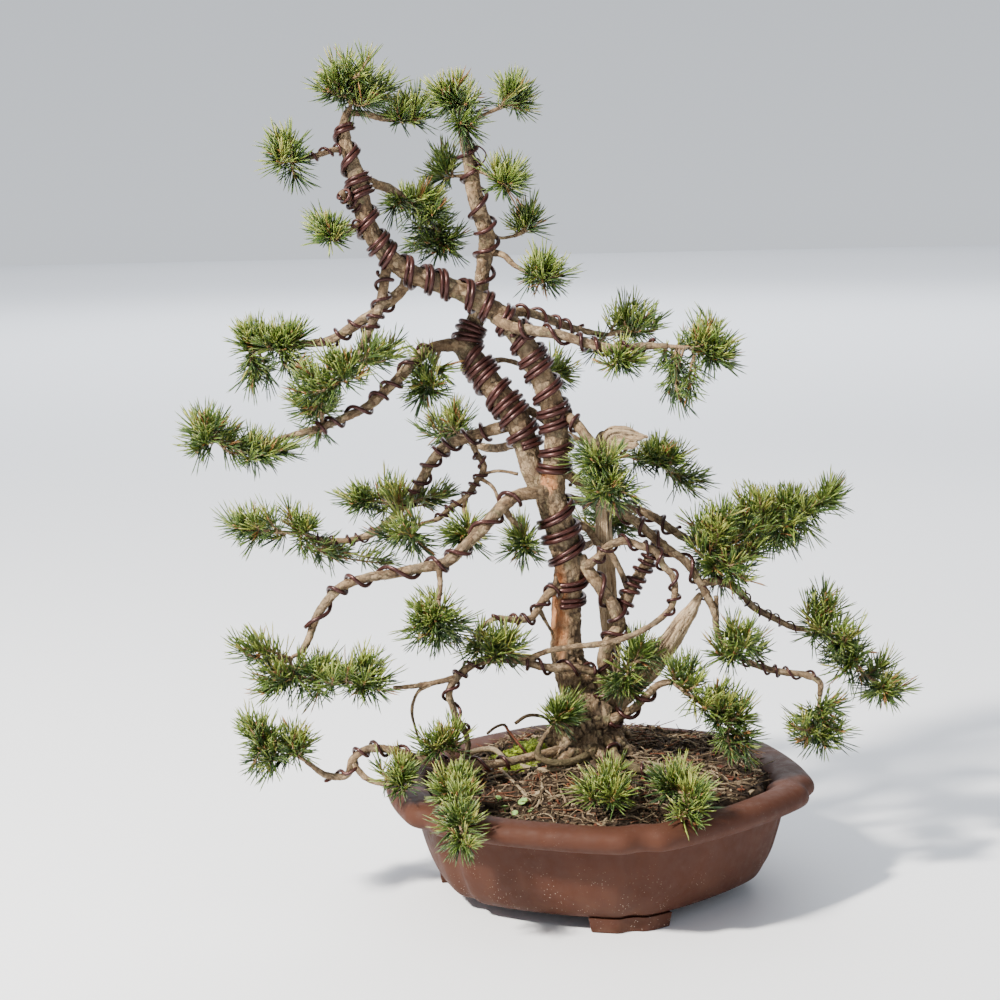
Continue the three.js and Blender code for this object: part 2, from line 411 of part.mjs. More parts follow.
function makePot() {
  let pot = lobedSolid(POT_SECTION);
  FOOT_CORNERS.forEach((corner) => {
    const outer = [-1, -0.5, -0.14, 0, 0.14, 0.5, 1].map((step) => {
      const inset = Math.abs(step) === 1 ? 6 : 0;
      return onPot(FOOT_OUTER_RADIUS - inset, corner + step * FOOT_HALF_ANGLE, NOTCH_DEPTH);
    });
    const inner = [0.8, 0, -0.8]
      .map((step) => onPot(FOOT_INNER_RADIUS, corner + step * FOOT_HALF_ANGLE, 0));
    const foot = new THREE.Shape([...outer, ...inner].map(([x, y]) => new THREE.Vector2(x, y)));
    const block = new THREE.ExtrudeGeometry(foot, { depth: FOOT_HEIGHT + 3, bevelEnabled: false });
    pot = pot.add(toSolid(block));
  });
  const drill = new THREE.CylinderGeometry(DRAIN_RADIUS, DRAIN_RADIUS, 2 * FLOOR_TOP, 12);
  drill.rotateX(Math.PI / 2);
  drill.translate(...POT_MIDDLE, FLOOR_TOP);
  return pot.subtract(toSolid(drill));
}

function box(width, depth, height, x, y, z) {
  const geometry = new THREE.BoxGeometry(width, depth, height);
  geometry.translate(x, y, z);
  return toSolid(geometry);
}

function makeScreen() {
  const middle = FLOOR_TOP + CLEARANCE + DRAIN_SCREEN_THICKNESS / 2;
  let plate = box(DRAIN_SCREEN_SIZE, DRAIN_SCREEN_SIZE, DRAIN_SCREEN_THICKNESS, ...POT_MIDDLE, middle);
  for (const column of [-0.5, 0.5]) {
    for (const row of [-0.5, 0.5]) {
      const x = POT_MIDDLE[0] + column * DRAIN_SCREEN_PITCH;
      const y = POT_MIDDLE[1] + row * DRAIN_SCREEN_PITCH;
      plate = plate.subtract(box(DRAIN_SCREEN_HOLE, DRAIN_SCREEN_HOLE, 4, x, y, middle));
    }
  }
  return plate;
}

function soilHeight(x, y) {
  const away = Math.hypot(x - MOUND_MIDDLE[0], y - MOUND_MIDDLE[1]) / MOUND_RADIUS;
  const mound = SOIL_MOUND * Math.exp(-(away ** 2.6));
  const lumps = 2.2 * Math.sin(x / 17 + 0.6) * Math.cos(y / 14) + 1.3 * Math.sin(x / 7.3 - y / 9.1);
  return SOIL_EDGE + mound + lumps;
}

function makeSoil() {
  const wall = SOIL_SECTION[SOIL_SECTION.length - 1][0];
  const rings = SOIL_RINGS.map((share) => [wall * share, 0]);
  const section = [...SOIL_SECTION, ...rings, [0, 0]];
  const soil = lobedSolid(section, soilHeight, SOIL_SECTION.length);
  const seat = DRAIN_SCREEN_SIZE + 2 * CLEARANCE;
  const depth = 2 * (DRAIN_SCREEN_THICKNESS + 2 * CLEARANCE);
  return soil.subtract(box(seat, seat, depth, ...POT_MIDDLE, FLOOR_TOP));
}

// A route with a radius at each point, sampled at even steps with a frame at each
function follow(points, step) {
  const places = points.map(([across, down, behind]) => onSheet(across, down, behind));
  const curve = new THREE.CatmullRomCurve3(places, false, 'centripetal');
  curve.arcLengthDivisions = 400;
  const rings = Math.max(2, Math.round(curve.getLength() / step));
  const frames = curve.computeFrenetFrames(rings, false);
  const centres = [];
  const radii = [];
  for (let i = 0; i <= rings; i += 1) {
    centres.push(curve.getPointAt(i / rings));
    const along = curve.getUtoTmapping(i / rings) * (points.length - 1);
    const before = Math.min(Math.floor(along), points.length - 2);
    const share = along - before;
    radii.push(lerp(points[before][3], points[before + 1][3], share));
  }
  return { curve, centres, radii, normals: frames.normals, binormals: frames.binormals };
}

// A closed tube of flat sides through the centres, its radius scaled by relief at each corner
function tube(centres, firstAxes, secondAxes, radii, sides, relief = () => 1) {
  const rings = centres.length - 1;
  const geometry = new THREE.CylinderGeometry(1, 1, 1, sides, rings);
  const position = geometry.attributes.position;
  for (let i = 0; i < position.count; i += 1) {
    const ring = Math.round((position.getY(i) + 0.5) * rings);
    const x = position.getX(i);
    const z = position.getZ(i);
    const corner = Math.round((Math.atan2(z, x) / (2 * Math.PI)) * sides);
    const radius = radii[ring] * (Math.hypot(x, z) < 0.5 ? 0 : relief((corner + sides) % sides, ring));
    const place = centres[ring].clone()
      .addScaledVector(firstAxes[ring], x * radius)
      .addScaledVector(secondAxes[ring], z * radius);
    position.setXYZ(i, place.x, place.y, place.z);
  }
  return outward(geometry);
}

// Distance between a limb's rings, by its number of sides
const RING_STEP = { 9: 26, 7: 29, 5: 34, 4: 36 };

function lengthen(centres, growth) {
  const last = centres.length - 1;
  const forward = centres[last].clone().sub(centres[last - 1]).normalize();
  const backward = centres[0].clone().sub(centres[1]).normalize();
  centres[last].addScaledVector(forward, growth);
  centres[0].addScaledVector(backward, growth);
}

function limb([name, sides, roughness, points], growth = 0) {
  const { centres, radii, normals, binormals } = follow(points, RING_STEP[sides]);
  const grown = radii.map((radius) => radius + growth / Math.cos(Math.PI / sides));
  lengthen(centres, growth);
  const relief = (corner, ring) => 1 + roughness * Math.sin(2.4 * corner + 1.7 * ring + name.length)
    * Math.cos(1.3 * ring - 0.8 * corner);
  return tube(centres, normals, binormals, grown, sides, relief);
}

// A wire wound round a limb, three-sided in section, standing clear of the bark
function winding([, limbName, start, stop, turns, radius, perTurn], growth = 0) {
  const [, sides, roughness, points] = LIMBS.find(([name]) => name === limbName);
  const { curve } = follow(points, RING_STEP[sides]);
  const count = Math.round(turns * perTurn);
  const frames = curve.computeFrenetFrames(count * 2, false);
  const places = [];
  const outs = [];
  for (let i = 0; i <= count; i += 1) {
    const share = start + ((stop - start) * i) / count;
    const along = curve.getUtoTmapping(share) * (points.length - 1);
    const before = Math.min(Math.floor(along), points.length - 2);
    const bark = lerp(points[before][3], points[before + 1][3], along - before);
    const frame = Math.round(share * count * 2);
    const turn = (i * 2 * Math.PI) / perTurn;
    const out = frames.normals[frame].clone().multiplyScalar(Math.cos(turn))
      .addScaledVector(frames.binormals[frame], Math.sin(turn));
    const inner = (bark * (1 + roughness) + WIRE_STANDOFF) / Math.cos(Math.PI / perTurn);
    outs.push(out);
    places.push(curve.getPointAt(share).addScaledVector(out, inner + radius));
  }
  const across = places.map((place, i) => {
    const ahead = places[Math.min(i + 1, count)].clone().sub(places[Math.max(i - 1, 0)]);
    return ahead.cross(outs[i]).normalize();
  });
  const straightOut = outs.map((out, i) => {
    const ahead = places[Math.min(i + 1, count)].clone().sub(places[Math.max(i - 1, 0)]).normalize();
    return out.clone().addScaledVector(ahead, -out.dot(ahead)).normalize();
  });
  lengthen(places, growth);
  return tube(places, straightOut, across, places.map(() => radius + 2 * growth), 3);
}

function nearest(places, target) {
  return places.reduce((kept, place) => (
    place.distanceTo(target) < kept.distanceTo(target) ? place : kept
  ));
}

function segmentDistance(a, b) {
  const line = new THREE.Line3(a.from, a.to);
  let least = Infinity;
  for (let i = 0; i <= 6; i += 1) {
    const point = b.from.clone().lerp(b.to, i / 6);
    const close = line.closestPointToPoint(point, true, new THREE.Vector3());
    least = Math.min(least, close.distanceTo(point));
  }
  return least;
}

function insidePot(point) {
  const x = point.x - POT_MIDDLE[0];
  const y = point.y - POT_MIDDLE[1];
  const reach = Math.hypot(x, y);
  const rim = lobed(RIM_RADIUS, radToDeg(Math.atan2(y, x)), 0) + 3;
  const earthTop = soilHeight(point.x, point.y) + 12;
  return reach < rim && point.z < Math.max(POT_HEIGHT + 2, reach < 150 ? earthTop : 0);
}

// Every needle and twig laid so far, so that the next spray keeps clear of them
const laid = [];

function lay(from, to, spray, kind) {
  const middle = from.clone().lerp(to, 0.5);
  return { from, to, middle, reach: from.distanceTo(to) / 2, spray, kind };
}

function isClear(segment) {
  for (let i = 0; i <= 4; i += 1) {
    if (insidePot(segment.from.clone().lerp(segment.to, i / 4))) return false;
  }
  return laid.every((other) => {
    if (other.middle.distanceTo(segment.middle) > other.reach + segment.reach + NEEDLE_GAP) return true;
    const sameSpray = other.spray === segment.spray;
    const from = segment.from.clone().lerp(segment.to, sameSpray ? 0.4 : 0);
    return segmentDistance(other, { from, to: segment.to }) > (sameSpray ? SAME_SPRAY_GAP : NEEDLE_GAP);
  });
}

// A bud with its twig and tuft: a slim twenty-faced core whose back is drawn out into the twig,
// and a three-sided needle on each face that looks forward or out, where it stands clear
function makeTuft({ root, centre, heading }, name, random) {
  const core = new THREE.IcosahedronGeometry(1, 0);
  core.deleteAttribute('normal');
  core.deleteAttribute('uv');
  const merged = mergeVertices(core, 1e-4);
  const position = merged.attributes.position;
  const pole = new THREE.Vector3().fromBufferAttribute(position, 0);
  const turn = new THREE.Quaternion().setFromUnitVectors(pole.clone().normalize(), heading);
  const places = [];
  let back = 0;
  for (let i = 0; i < position.count; i += 1) {
    const place = new THREE.Vector3().fromBufferAttribute(position, i).applyQuaternion(turn);
    const along = heading.clone().multiplyScalar(place.dot(heading));
    const out = place.sub(along).multiplyScalar(BUD_RADIUS);
    places.push(out.addScaledVector(along, BUD_HALF_LENGTH).add(centre));
    if (along.dot(heading) < -0.99) back = i;
  }
  const faces = [];
  const edges = [];
  const index = merged.index.array;
  for (let i = 0; i < index.length; i += 3) {
    const corners = [index[i], index[i + 1], index[i + 2]];
    const atBack = corners.indexOf(back);
    if (atBack >= 0) {
      edges.push([corners[(atBack + 1) % 3], corners[(atBack + 2) % 3]]);
      continue;
    }
    const middle = corners.reduce((sum, c) => sum.add(places[c]), new THREE.Vector3()).divideScalar(3);
    const sweep = FORWARD_SWEEP * (0.6 + 0.8 * random());
    const length = lerp(NEEDLE_SHORTEST, NEEDLE_LONGEST, random());
    const direction = middle.clone().sub(centre).normalize().lerp(heading, sweep).normalize();
    const needle = lay(middle, middle.clone().addScaledVector(direction, length), name, 'needle');
    if (random() < NEEDLE_SHARE && isClear(needle)) {
      laid.push(needle);
      const tip = places.push(needle.to) - 1;
      const [first, second, third] = corners;
      faces.push(first, second, tip, second, third, tip, third, first, tip);
    } else {
      faces.push(...corners);
    }
  }
  drawOutTwig(places, faces, edges, root, centre, back);
  return new wasm.Manifold(new wasm.Mesh({
    numProp: 3,
    vertProperties: new Float32Array(places.flatMap((place) => place.toArray())),
    triVerts: new Uint32Array(faces),
  }));
}

// The five edges round the back of a bud run down to a triangle round the twig's root
function drawOutTwig(places, faces, edges, root, centre, back) {
  const heading = centre.clone().sub(root).normalize();
  const ring = [edges[0][0]];
  while (ring.length < edges.length) {
    const last = ring[ring.length - 1];
    ring.push(edges.find(([from]) => from === last)[1]);
  }
  const corners = [0, 2, 4].map((i) => {
    const spoke = places[ring[i]].clone().sub(centre);
    spoke.addScaledVector(heading, -spoke.dot(heading)).normalize();
    return places.push(root.clone().addScaledVector(spoke, TWIG_RADIUS)) - 1;
  });
  const below = [0, 0, 1, 1, 2].map((corner) => corners[corner]);
  places[back].copy(root);
  ring.forEach((from, i) => {
    const to = ring[(i + 1) % ring.length];
    const start = below[i];
    const end = below[(i + 1) % ring.length];
    faces.push(from, to, end);
    if (start !== end) faces.push(from, end, start, start, end, back);
  });
}

function makeSpray([name, stem, bushes], order) {
  const random = seeded(1000 + order);
  const route = stem.map((point) => [...point, STEM_RADIUS]);
  const { curve, centres, radii, normals, binormals } = follow(route, 30);
  const samples = curve.getSpacedPoints(12);
  for (let i = 0; i < 12; i += 1) laid.push(lay(samples[i], samples[i + 1], name, 'twig'));
  const buds = bushes.flatMap(([across, down, halfWidth, halfHeight, behind, fullness], bush) => {
    const count = Math.max(1, Math.round(fullness * BUD_SHARE));
    const wide = Math.max(halfWidth - NEEDLE_REACH, 3);
    const tall = Math.max(halfHeight - NEEDLE_REACH, 3);
    return Array.from({ length: count }, (_, bud) => {
      const out = Math.sqrt((bud + 0.6) / count);
      const turn = bud * GOLDEN_ANGLE + random() * 0.6 + order + bush;
      const deep = 1.3 * Math.max(wide, tall) * Math.sin(bud * 2.1 + order);
      const right = wide * out * Math.cos(turn);
      const below = tall * out * Math.sin(turn);
      const centre = onSheet(across + right, down + below, behind + deep);
      const root = nearest(samples, centre);
      if (centre.distanceTo(root) < SHORTEST_TWIG) centre.addScaledVector(UP, SHORTEST_TWIG);
      const heading = centre.clone().sub(root).normalize().addScaledVector(UP, UPWARD_PULL).normalize();
      laid.push(lay(root, centre, name, 'twig'));
      return { root, centre, heading };
    });
  });
  const tufts = buds.map((bud) => makeTuft(bud, name, random));
  return wasm.Manifold.union([tube(centres, normals, binormals, radii, 4), ...tufts]);
}

function makeMoss(soil, fatWood) {
  const cushion = new THREE.SphereGeometry(1, 10, 5);
  cushion.rotateX(Math.PI / 2);
  cushion.scale(40, 26, 9);
  cushion.translate(-60, 4, soilHeight(-60, 4) + 1);
  const raised = soil.translate([0, 0, CLEARANCE]);
  return largest(toSolid(cushion).subtract(raised).subtract(fatWood));
}

const group = new THREE.Group();
const limbs = LIMBS.map((row) => limb(row));
const fatWood = wasm.Manifold.union(LIMBS.map((row) => limb(row, CLEARANCE)));
const wires = [];
const fatWires = [];
WIRES.forEach((row) => {
  let strand = winding(row);
  fatWires.forEach((other) => {
    strand = strand.subtract(other);
  });
  wires.push(largest(strand));
  fatWires.push(winding(row, CLEARANCE));
});
const allFatWires = wasm.Manifold.union(fatWires);
const wood = largest(wasm.Manifold.union(limbs).subtract(allFatWires));
const soil = largest(makeSoil().subtract(fatWood));

group.add(toMesh('pot', makePot(), clay));
group.add(toMesh('drain_screen', makeScreen(), screen));
group.add(toMesh('soil', soil, earth));
group.add(toMesh('moss', makeMoss(soil, fatWood), mossGreen));
group.add(toMesh('wood', wood, bark));
WIRES.forEach(([name], i) => group.add(toMesh(name, wires[i], wire)));
SPRAYS.forEach((row, i) => {
  const spray = makeSpray(row, i).subtract(fatWood).subtract(allFatWires);
  group.add(toMesh(`spray_${row[0]}`, largest(spray), needleGreen));
});
group.position.set(...ORIGIN_SHIFT);

export default group;
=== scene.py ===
"""Scots pine bonsai with two crossing trunks in a lobed clay pot, dressed for its portrait.

Lengths in the tables and functions are millimetres; a finished mesh is in metres.
"""

import math
import random
from collections import namedtuple
from functools import lru_cache

import bmesh
import bpy
import numpy as np
from mathutils import Matrix, Quaternion, Vector, noise
from mathutils.kdtree import KDTree


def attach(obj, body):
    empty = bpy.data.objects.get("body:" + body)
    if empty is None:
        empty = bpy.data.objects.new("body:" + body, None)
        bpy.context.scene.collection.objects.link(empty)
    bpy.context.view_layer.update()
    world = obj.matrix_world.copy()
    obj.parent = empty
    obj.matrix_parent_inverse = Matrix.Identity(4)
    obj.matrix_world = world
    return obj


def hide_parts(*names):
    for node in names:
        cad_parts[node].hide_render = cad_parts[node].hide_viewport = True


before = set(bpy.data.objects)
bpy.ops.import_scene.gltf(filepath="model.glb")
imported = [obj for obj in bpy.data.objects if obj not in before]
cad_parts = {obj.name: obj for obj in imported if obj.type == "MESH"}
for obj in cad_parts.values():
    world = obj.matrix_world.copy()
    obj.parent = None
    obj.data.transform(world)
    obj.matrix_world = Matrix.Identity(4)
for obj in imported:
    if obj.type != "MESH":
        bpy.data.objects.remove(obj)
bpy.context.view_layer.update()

MM = 0.001
UP = Vector((0, 0, 1))
# Bark patterns are measured in centimetres, along and round the limb
GRAIN_SCALE = 0.1
GOLDEN_ANGLE = math.pi * (3 - math.sqrt(5))
# Just under a full turn, in radians
FULL_TURN = 6.28
# Without a seed, noise_vector takes its offsets from the clock
NOISE_SEED = 11
noise.seed_set(NOISE_SEED)

# The tree is laid out on an upright sheet, a metre square, that stands across the trunk. A point
# is millimetres across it, down it, and behind it along the line of sight from the eye.
SHEET_MIDDLE = 500
EYE_TO_SHEET = 2083
EYE_TILT = math.radians(7.9)
SHEET_LEAN = math.radians(1.2)
TREE_SHIFT = Vector((53, -4, 0))
EYE = Vector((-97, -2047, 672)) + TREE_SHIFT

# Pot: the angles of its corners round its middle, in degrees, the first one given twice
POT_HEIGHT = 113
POT_MIDDLE = Vector((-6, -14, 0)) + TREE_SHIFT
CORNERS = [-81, -14, 37, 99, 166, 217, 279]
SIDE_FLATNESS = 0.6
NOTCH_DEPTH = 13
NOTCH_WIDTH = 3.4
RIM_RADIUS = 223
FOOT_CORNERS = [-81, 37, 166]
FOOT_HEIGHT = 12
FOOT_OUTER_RADIUS = 167
FOOT_INNER_RADIUS = 132
FOOT_HALF_ANGLE = 15
FOOT_TAPER = 0.93
FOOT_ROUNDING = 1.6
DRAIN_RADIUS = 13
POT_STEPS = 240
# Unevenness of the thrown wall: its length and depth
WAVER_LENGTH = 70
WAVER_DEPTH = 0.9

# Corner radius and height, from the drain hole out under the pot, round the lip and back in
POT_OUTSIDE = [
    (DRAIN_RADIUS, 12), (60, 12), (120, 12), (157, 12.4), (166, 16.5), (173, 25), (180, 39), (185, 54),
    (189.5, 70), (192, 83), (194.5, 88.4), (202, 89.6), (213, 91), (219.5, 94), (223, 99),
    (222.2, 105.5), (217.5, 110.6), (209, 113), (198, 112.6), (189, 110.6), (183, 106.5), (180, 101),
]
POT_INSIDE = [(178, 86), (174, 62), (166, 42), (157, 29), (145, 22), (120, 22), (60, 22), (DRAIN_RADIUS, 22)]

SOIL_BOTTOM = 24
SOIL_WALL = [
    (60, SOIL_BOTTOM), (120, SOIL_BOTTOM), (145, SOIL_BOTTOM), (155, 30), (165.4, 43), (172.6, 62),
    (176.6, 86), (178, 94),
]
SOIL_EDGE = 100
SOIL_TOP_RADIUS = 177
SOIL_RINGS = 64
SOIL_MOUND = 29
MOUND_MIDDLE = Vector((15, 22, 0)) + TREE_SHIFT
MOUND_RADIUS = 150
# Distances behind the sheet at which a line of sight can meet the soil
SOIL_REACH = range(-210, 44, 2)

# Wood: the route of each limb, each point with the limb's radius there
LIMBS = {
    "root_stock": [
        (590, 800, 14, 30), (590, 765, 13, 37), (586, 735, 12, 33), (583, 705, 12, 27),
        (578, 680, 12, 19), (570, 655, 12, 13),
    ],
    "burr": [
        (598, 770, 8, 20), (600, 735, 4, 21), (595, 700, 2, 17), (584, 680, 6, 9),
    ],
    "trunk": [
        (580, 700, 12, 18), (567, 660, 12, 15.5), (566, 633, 12, 15), (566, 602, 12, 14.5),
        (569, 566, 10, 14.5), (563, 541, 9, 15), (557, 518, 8, 15.5), (551, 497, 6, 15),
        (551, 480, 5, 12.5),
    ],
    "left_trunk": [
        (552, 505, 8, 10), (541, 487, 12, 11), (532, 470, 16, 11.5), (526, 445, 20, 12.5),
        (519, 425, 22, 13), (508, 406, 26, 13), (494, 388, 32, 12.5), (478, 365, 38, 12),
        (466, 347, 42, 11.5), (470, 332, 44, 10.5), (477, 318, 46, 9.5), (480, 300, 46, 8.5),
        (482, 280, 44, 8), (485, 258, 40, 8), (487, 235, 34, 8), (480, 212, 28, 8), (474, 190, 24, 8),
        (471, 168, 20, 7), (467, 148, 17, 6.5), (463, 130, 15, 5), (460, 118, 14, 3.6),
    ],
    "right_trunk": [
        (552, 500, 6, 13), (553, 478, 4, 12.5), (556, 455, 2, 12), (556, 430, 1, 12), (552, 405, 0, 12),
        (544, 382, 0, 12), (533, 358, 0, 11.5), (520, 336, 0, 11), (503, 318, 0, 10.5), (480, 302, 0, 10),
        (458, 290, -2, 9.5), (436, 282, -6, 9.5), (412, 274, -10, 9.5), (392, 260, -14, 9),
        (376, 240, -18, 9), (366, 220, -20, 9), (361, 198, -20, 9), (357, 178, -18, 8.5),
        (351, 160, -16, 7), (345, 140, -14, 6), (345, 122, -12, 5.2), (350, 108, -10, 4.2),
    ],
    "dead_trunk": [
        (604, 720, 30, 12), (609, 680, 34, 10), (611, 640, 36, 9.5), (609, 600, 36, 9),
        (605, 560, 34, 8.5), (604, 520, 32, 8), (604, 480, 30, 7.5), (604, 450, 26, 6.5),
        (612, 434, 22, 7), (630, 434, 20, 5.5), (648, 437, 18, 1.6),
    ],
    "peeled_branch": [
        (606, 715, 16, 9), (628, 690, 8, 11), (648, 668, 2, 12.5), (666, 646, -2, 11),
        (681, 624, -5, 8.5), (693, 606, -7, 6), (702, 594, -8, 3.6),
    ],
    "live_vein": [
        (604, 712, 0, 10), (606, 680, -4, 8), (604, 655, -8, 7), (611, 638, -10, 6.5),
        (619, 626, -10, 6.5), (615, 609, -10, 6.5), (602, 590, -8, 6.5), (590, 573, -4, 6.5),
        (580, 556, 2, 6),
    ],
    "loop_branch": [
        (586, 567, -4, 6), (598, 557, -12, 5), (609, 546, -20, 4.6), (624, 541, -26, 4.6),
        (641, 546, -30, 4.4), (655, 551, -33, 4.2), (663, 565, -36, 4), (673, 577, -38, 3.8),
        (675, 592, -40, 3.8), (671, 607, -42, 3.6), (656, 622, -42, 3.4), (630, 636, -40, 3.4),
        (600, 644, -36, 3.4), (572, 647, -32, 3.4), (548, 651, -30, 3.4), (526, 658, -32, 3.2),
        (508, 652, -34, 2.6),
    ],
    "low_left_branch": [
        (604, 690, -4, 6), (593, 672, -14, 5.5), (572, 668, -22, 5.2), (545, 667, -26, 5),
        (515, 660, -30, 4.6), (480, 662, -36, 4.4), (458, 676, -40, 4.4), (449, 692, -40, 4.2),
        (453, 707, -38, 4), (457, 720, -36, 4.6), (465, 732, -32, 3.8), (468, 748, -26, 3.4),
        (463, 764, -18, 3),
    ],
    "low_left_reach": [
        (458, 677, -40, 4), (438, 682, -44, 3.4), (415, 686, -48, 3), (393, 688, -50, 2.6),
    ],
    "mid_left_branch": [
        (570, 584, 4, 5.5), (552, 591, -8, 5.2), (541, 604, -14, 4.8), (531, 618, -18, 4.4),
        (514, 620, -22, 3.6), (496, 618, -26, 3.2), (484, 625, -28, 2.8), (474, 634, -30, 2.4),
    ],
    "long_left_branch": [
        (550, 492, 2, 9), (530, 493, -14, 8.5), (514, 497, -20, 8), (500, 509, -26, 7.5),
        (484, 527, -34, 7), (466, 545, -42, 6.5), (446, 562, -48, 6.4), (420, 568, -52, 6),
        (392, 574, -56, 5.6), (366, 578, -60, 5.4), (343, 586, -62, 5.4), (328, 600, -62, 5.2),
        (316, 618, -62, 4.8), (309, 638, -62, 4.4), (302, 652, -62, 3.4),
    ],
    "hanging_twig": [
        (438, 565, -50, 4), (440, 582, -54, 3.4), (439, 600, -58, 2.8),
    ],
    "lower_left_branch": [
        (512, 424, 26, 8), (492, 430, 34, 7.5), (468, 437, 42, 7), (447, 446, 50, 6.6),
        (432, 461, 56, 6.2), (422, 480, 62, 6), (412, 497, 66, 5.2), (398, 512, 70, 5),
        (384, 526, 72, 4.6), (366, 536, 74, 4.4), (344, 541, 76, 4.2), (322, 540, 78, 3.6),
        (306, 534, 80, 3),
    ],
    "inner_twig": [
        (470, 438, 42, 4.4), (476, 452, 38, 3.8), (484, 467, 34, 3.8), (476, 482, 30, 3.4),
        (465, 498, 28, 3.6), (450, 508, 26, 3.2), (438, 519, 24, 3), (424, 523, 22, 2.4),
    ],
    "inner_drop": [
        (466, 497, 28, 3), (464, 512, 24, 2.6), (467, 526, 20, 2.2),
    ],
    "under_twig": [
        (504, 507, -22, 4.4), (511, 519, -14, 3.4), (521, 527, -8, 3), (526, 538, -4, 2.4),
    ],
    "upper_left_branch": [
        (468, 346, 40, 8.5), (448, 345, 30, 7.5), (430, 349, 22, 6.6), (414, 362, 12, 6.4),
        (399, 378, 4, 6.2), (384, 392, -4, 5.8), (368, 406, -12, 5.4), (346, 417, -20, 5),
        (322, 427, -28, 4.4), (298, 434, -36, 4), (272, 442, -44, 3.8), (250, 450, -50, 3.6),
        (232, 447, -54, 3.2), (216, 441, -58, 2.6),
    ],
    "cross_left_branch": [
        (388, 262, -14, 6.5), (384, 283, -22, 6), (381, 302, -28, 5.6), (373, 322, -32, 5.2),
        (363, 344, -36, 4.8), (356, 361, -38, 3.4),
    ],
    "back_left_branch": [
        (410, 274, -8, 7), (402, 290, 4, 6.8), (386, 304, 12, 6.4), (366, 318, 20, 6),
        (348, 330, 28, 5.8), (328, 341, 34, 5.4), (302, 344, 40, 4.4), (278, 349, 46, 3.4),
    ],
    "top_left_twig": [
        (348, 150, -16, 3.8), (334, 150, -22, 3.4), (318, 155, -28, 3), (302, 159, -34, 2.6),
        (292, 162, -38, 2),
    ],
    "wired_stub": [
        (358, 206, -20, 6), (347, 198, -30, 4.6), (341, 192, -36, 3.4),
    ],
    "small_left_twig": [
        (362, 222, -22, 4), (352, 229, -32, 3.2), (342, 237, -40, 2.4),
    ],
    "back_top_branch": [
        (358, 176, -16, 6.5), (372, 183, 0, 6), (388, 188, 16, 5.4), (400, 194, 28, 3.8),
    ],
    "crown_branch": [
        (350, 113, -12, 4), (366, 114, -2, 3.6), (383, 119, 6, 3.2), (400, 121, 12, 2.4),
    ],
    "top_right_twig": [
        (489, 252, 38, 4.4), (503, 255, 30, 3.6), (514, 265, 22, 3.2), (528, 273, 16, 2.4),
    ],
    "thin_right_twig": [
        (488, 236, 34, 2.8), (502, 238, 44, 2), (514, 236, 52, 1.6),
    ],
    "peg_left": [
        (472, 176, 22, 3.4), (462, 176, 30, 2.4), (454, 176, 36, 1.8),
    ],
    "peg_right": [
        (472, 168, 20, 4), (484, 172, 12, 3.2), (496, 180, 4, 2.2),
    ],
    "tip_right": [
        (464, 124, 15, 3.2), (476, 118, 22, 2.4), (490, 112, 30, 1.9),
    ],
    "high_right_branch": [
        (503, 316, 4, 6.5), (520, 312, 22, 5.6), (540, 316, 38, 5), (560, 324, 52, 4.6),
        (584, 331, 64, 4), (606, 335, 74, 3),
    ],
    "right_branch": [
        (494, 318, -4, 7), (512, 327, -18, 6.4), (536, 331, -28, 6), (560, 335, -36, 5.6),
        (586, 343, -42, 5.4), (614, 349, -46, 5), (644, 346, -50, 4.4), (668, 346, -54, 3.4),
    ],
    "straight_right_branch": [
        (560, 414, 0, 7), (572, 420, -10, 6.2), (584, 433, -18, 5.6), (597, 447, -24, 4.2),
    ],
    "back_link": [
        (512, 402, 28, 5.5), (532, 412, 42, 4.6), (552, 426, 48, 4.4), (572, 437, 50, 4),
        (588, 445, 54, 3),
    ],
    "behind_twig": [
        (482, 366, 40, 4), (500, 360, 52, 3.2), (516, 363, 58, 2.8), (530, 372, 62, 2.2),
    ],
    "mid_right_branch": [
        (556, 468, 6, 7), (572, 477, 18, 6), (588, 491, 22, 5.6), (610, 507, 14, 5.4), (634, 520, 2, 5.4),
        (652, 536, -8, 5.4), (668, 549, -14, 5.2), (686, 562, -20, 5), (698, 580, -22, 4.8),
        (706, 594, -20, 4.6), (714, 612, -20, 4.2), (717, 630, -22, 3.6), (722, 642, -24, 2.8),
    ],
    "far_right_branch": [
        (556, 496, 12, 6.5), (580, 501, 40, 5.4), (606, 504, 56, 5.2), (632, 508, 50, 5.2),
        (654, 517, 38, 5.2), (672, 530, 26, 5), (694, 541, 16, 4.6), (720, 538, 10, 4), (748, 528, 6, 3.2),
    ],
    "bound_branch": [
        (614, 616, 0, 8), (626, 600, 6, 7), (634, 583, 10, 6.6), (645, 566, 10, 6.4), (655, 551, 8, 6.2),
        (668, 549, -4, 5.4),
    ],
    "strut_branch": [
        (570, 524, 12, 5.5), (586, 528, 22, 4.4), (598, 543, 20, 4.2), (611, 554, 14, 4),
        (620, 570, 10, 3.8), (628, 590, 8, 3.6),
    ],
    "outer_right_branch": [
        (700, 583, -21, 4.8), (722, 582, -10, 4.6), (740, 592, 2, 4.4), (753, 607, 12, 4.2),
        (772, 617, 18, 4), (792, 627, 22, 3.8), (808, 630, 24, 3),
    ],
    "drooping_branch": [
        (722, 641, -24, 3), (738, 656, -28, 3), (758, 666, -32, 3.6), (782, 672, -36, 4),
        (806, 675, -40, 4), (820, 683, -42, 3.6), (820, 696, -42, 2.8),
    ],
    "low_right_branch": [
        (602, 725, -6, 8), (620, 716, -16, 6), (634, 708, -24, 5), (648, 694, -32, 4.6),
        (660, 684, -38, 4.2), (672, 682, -44, 3.4),
    ],
    "rear_branch": [
        (560, 560, 14, 7), (566, 552, 60, 6), (580, 548, 100, 5), (596, 540, 140, 4), (606, 530, 165, 3),
    ],
    "rear_left_branch": [
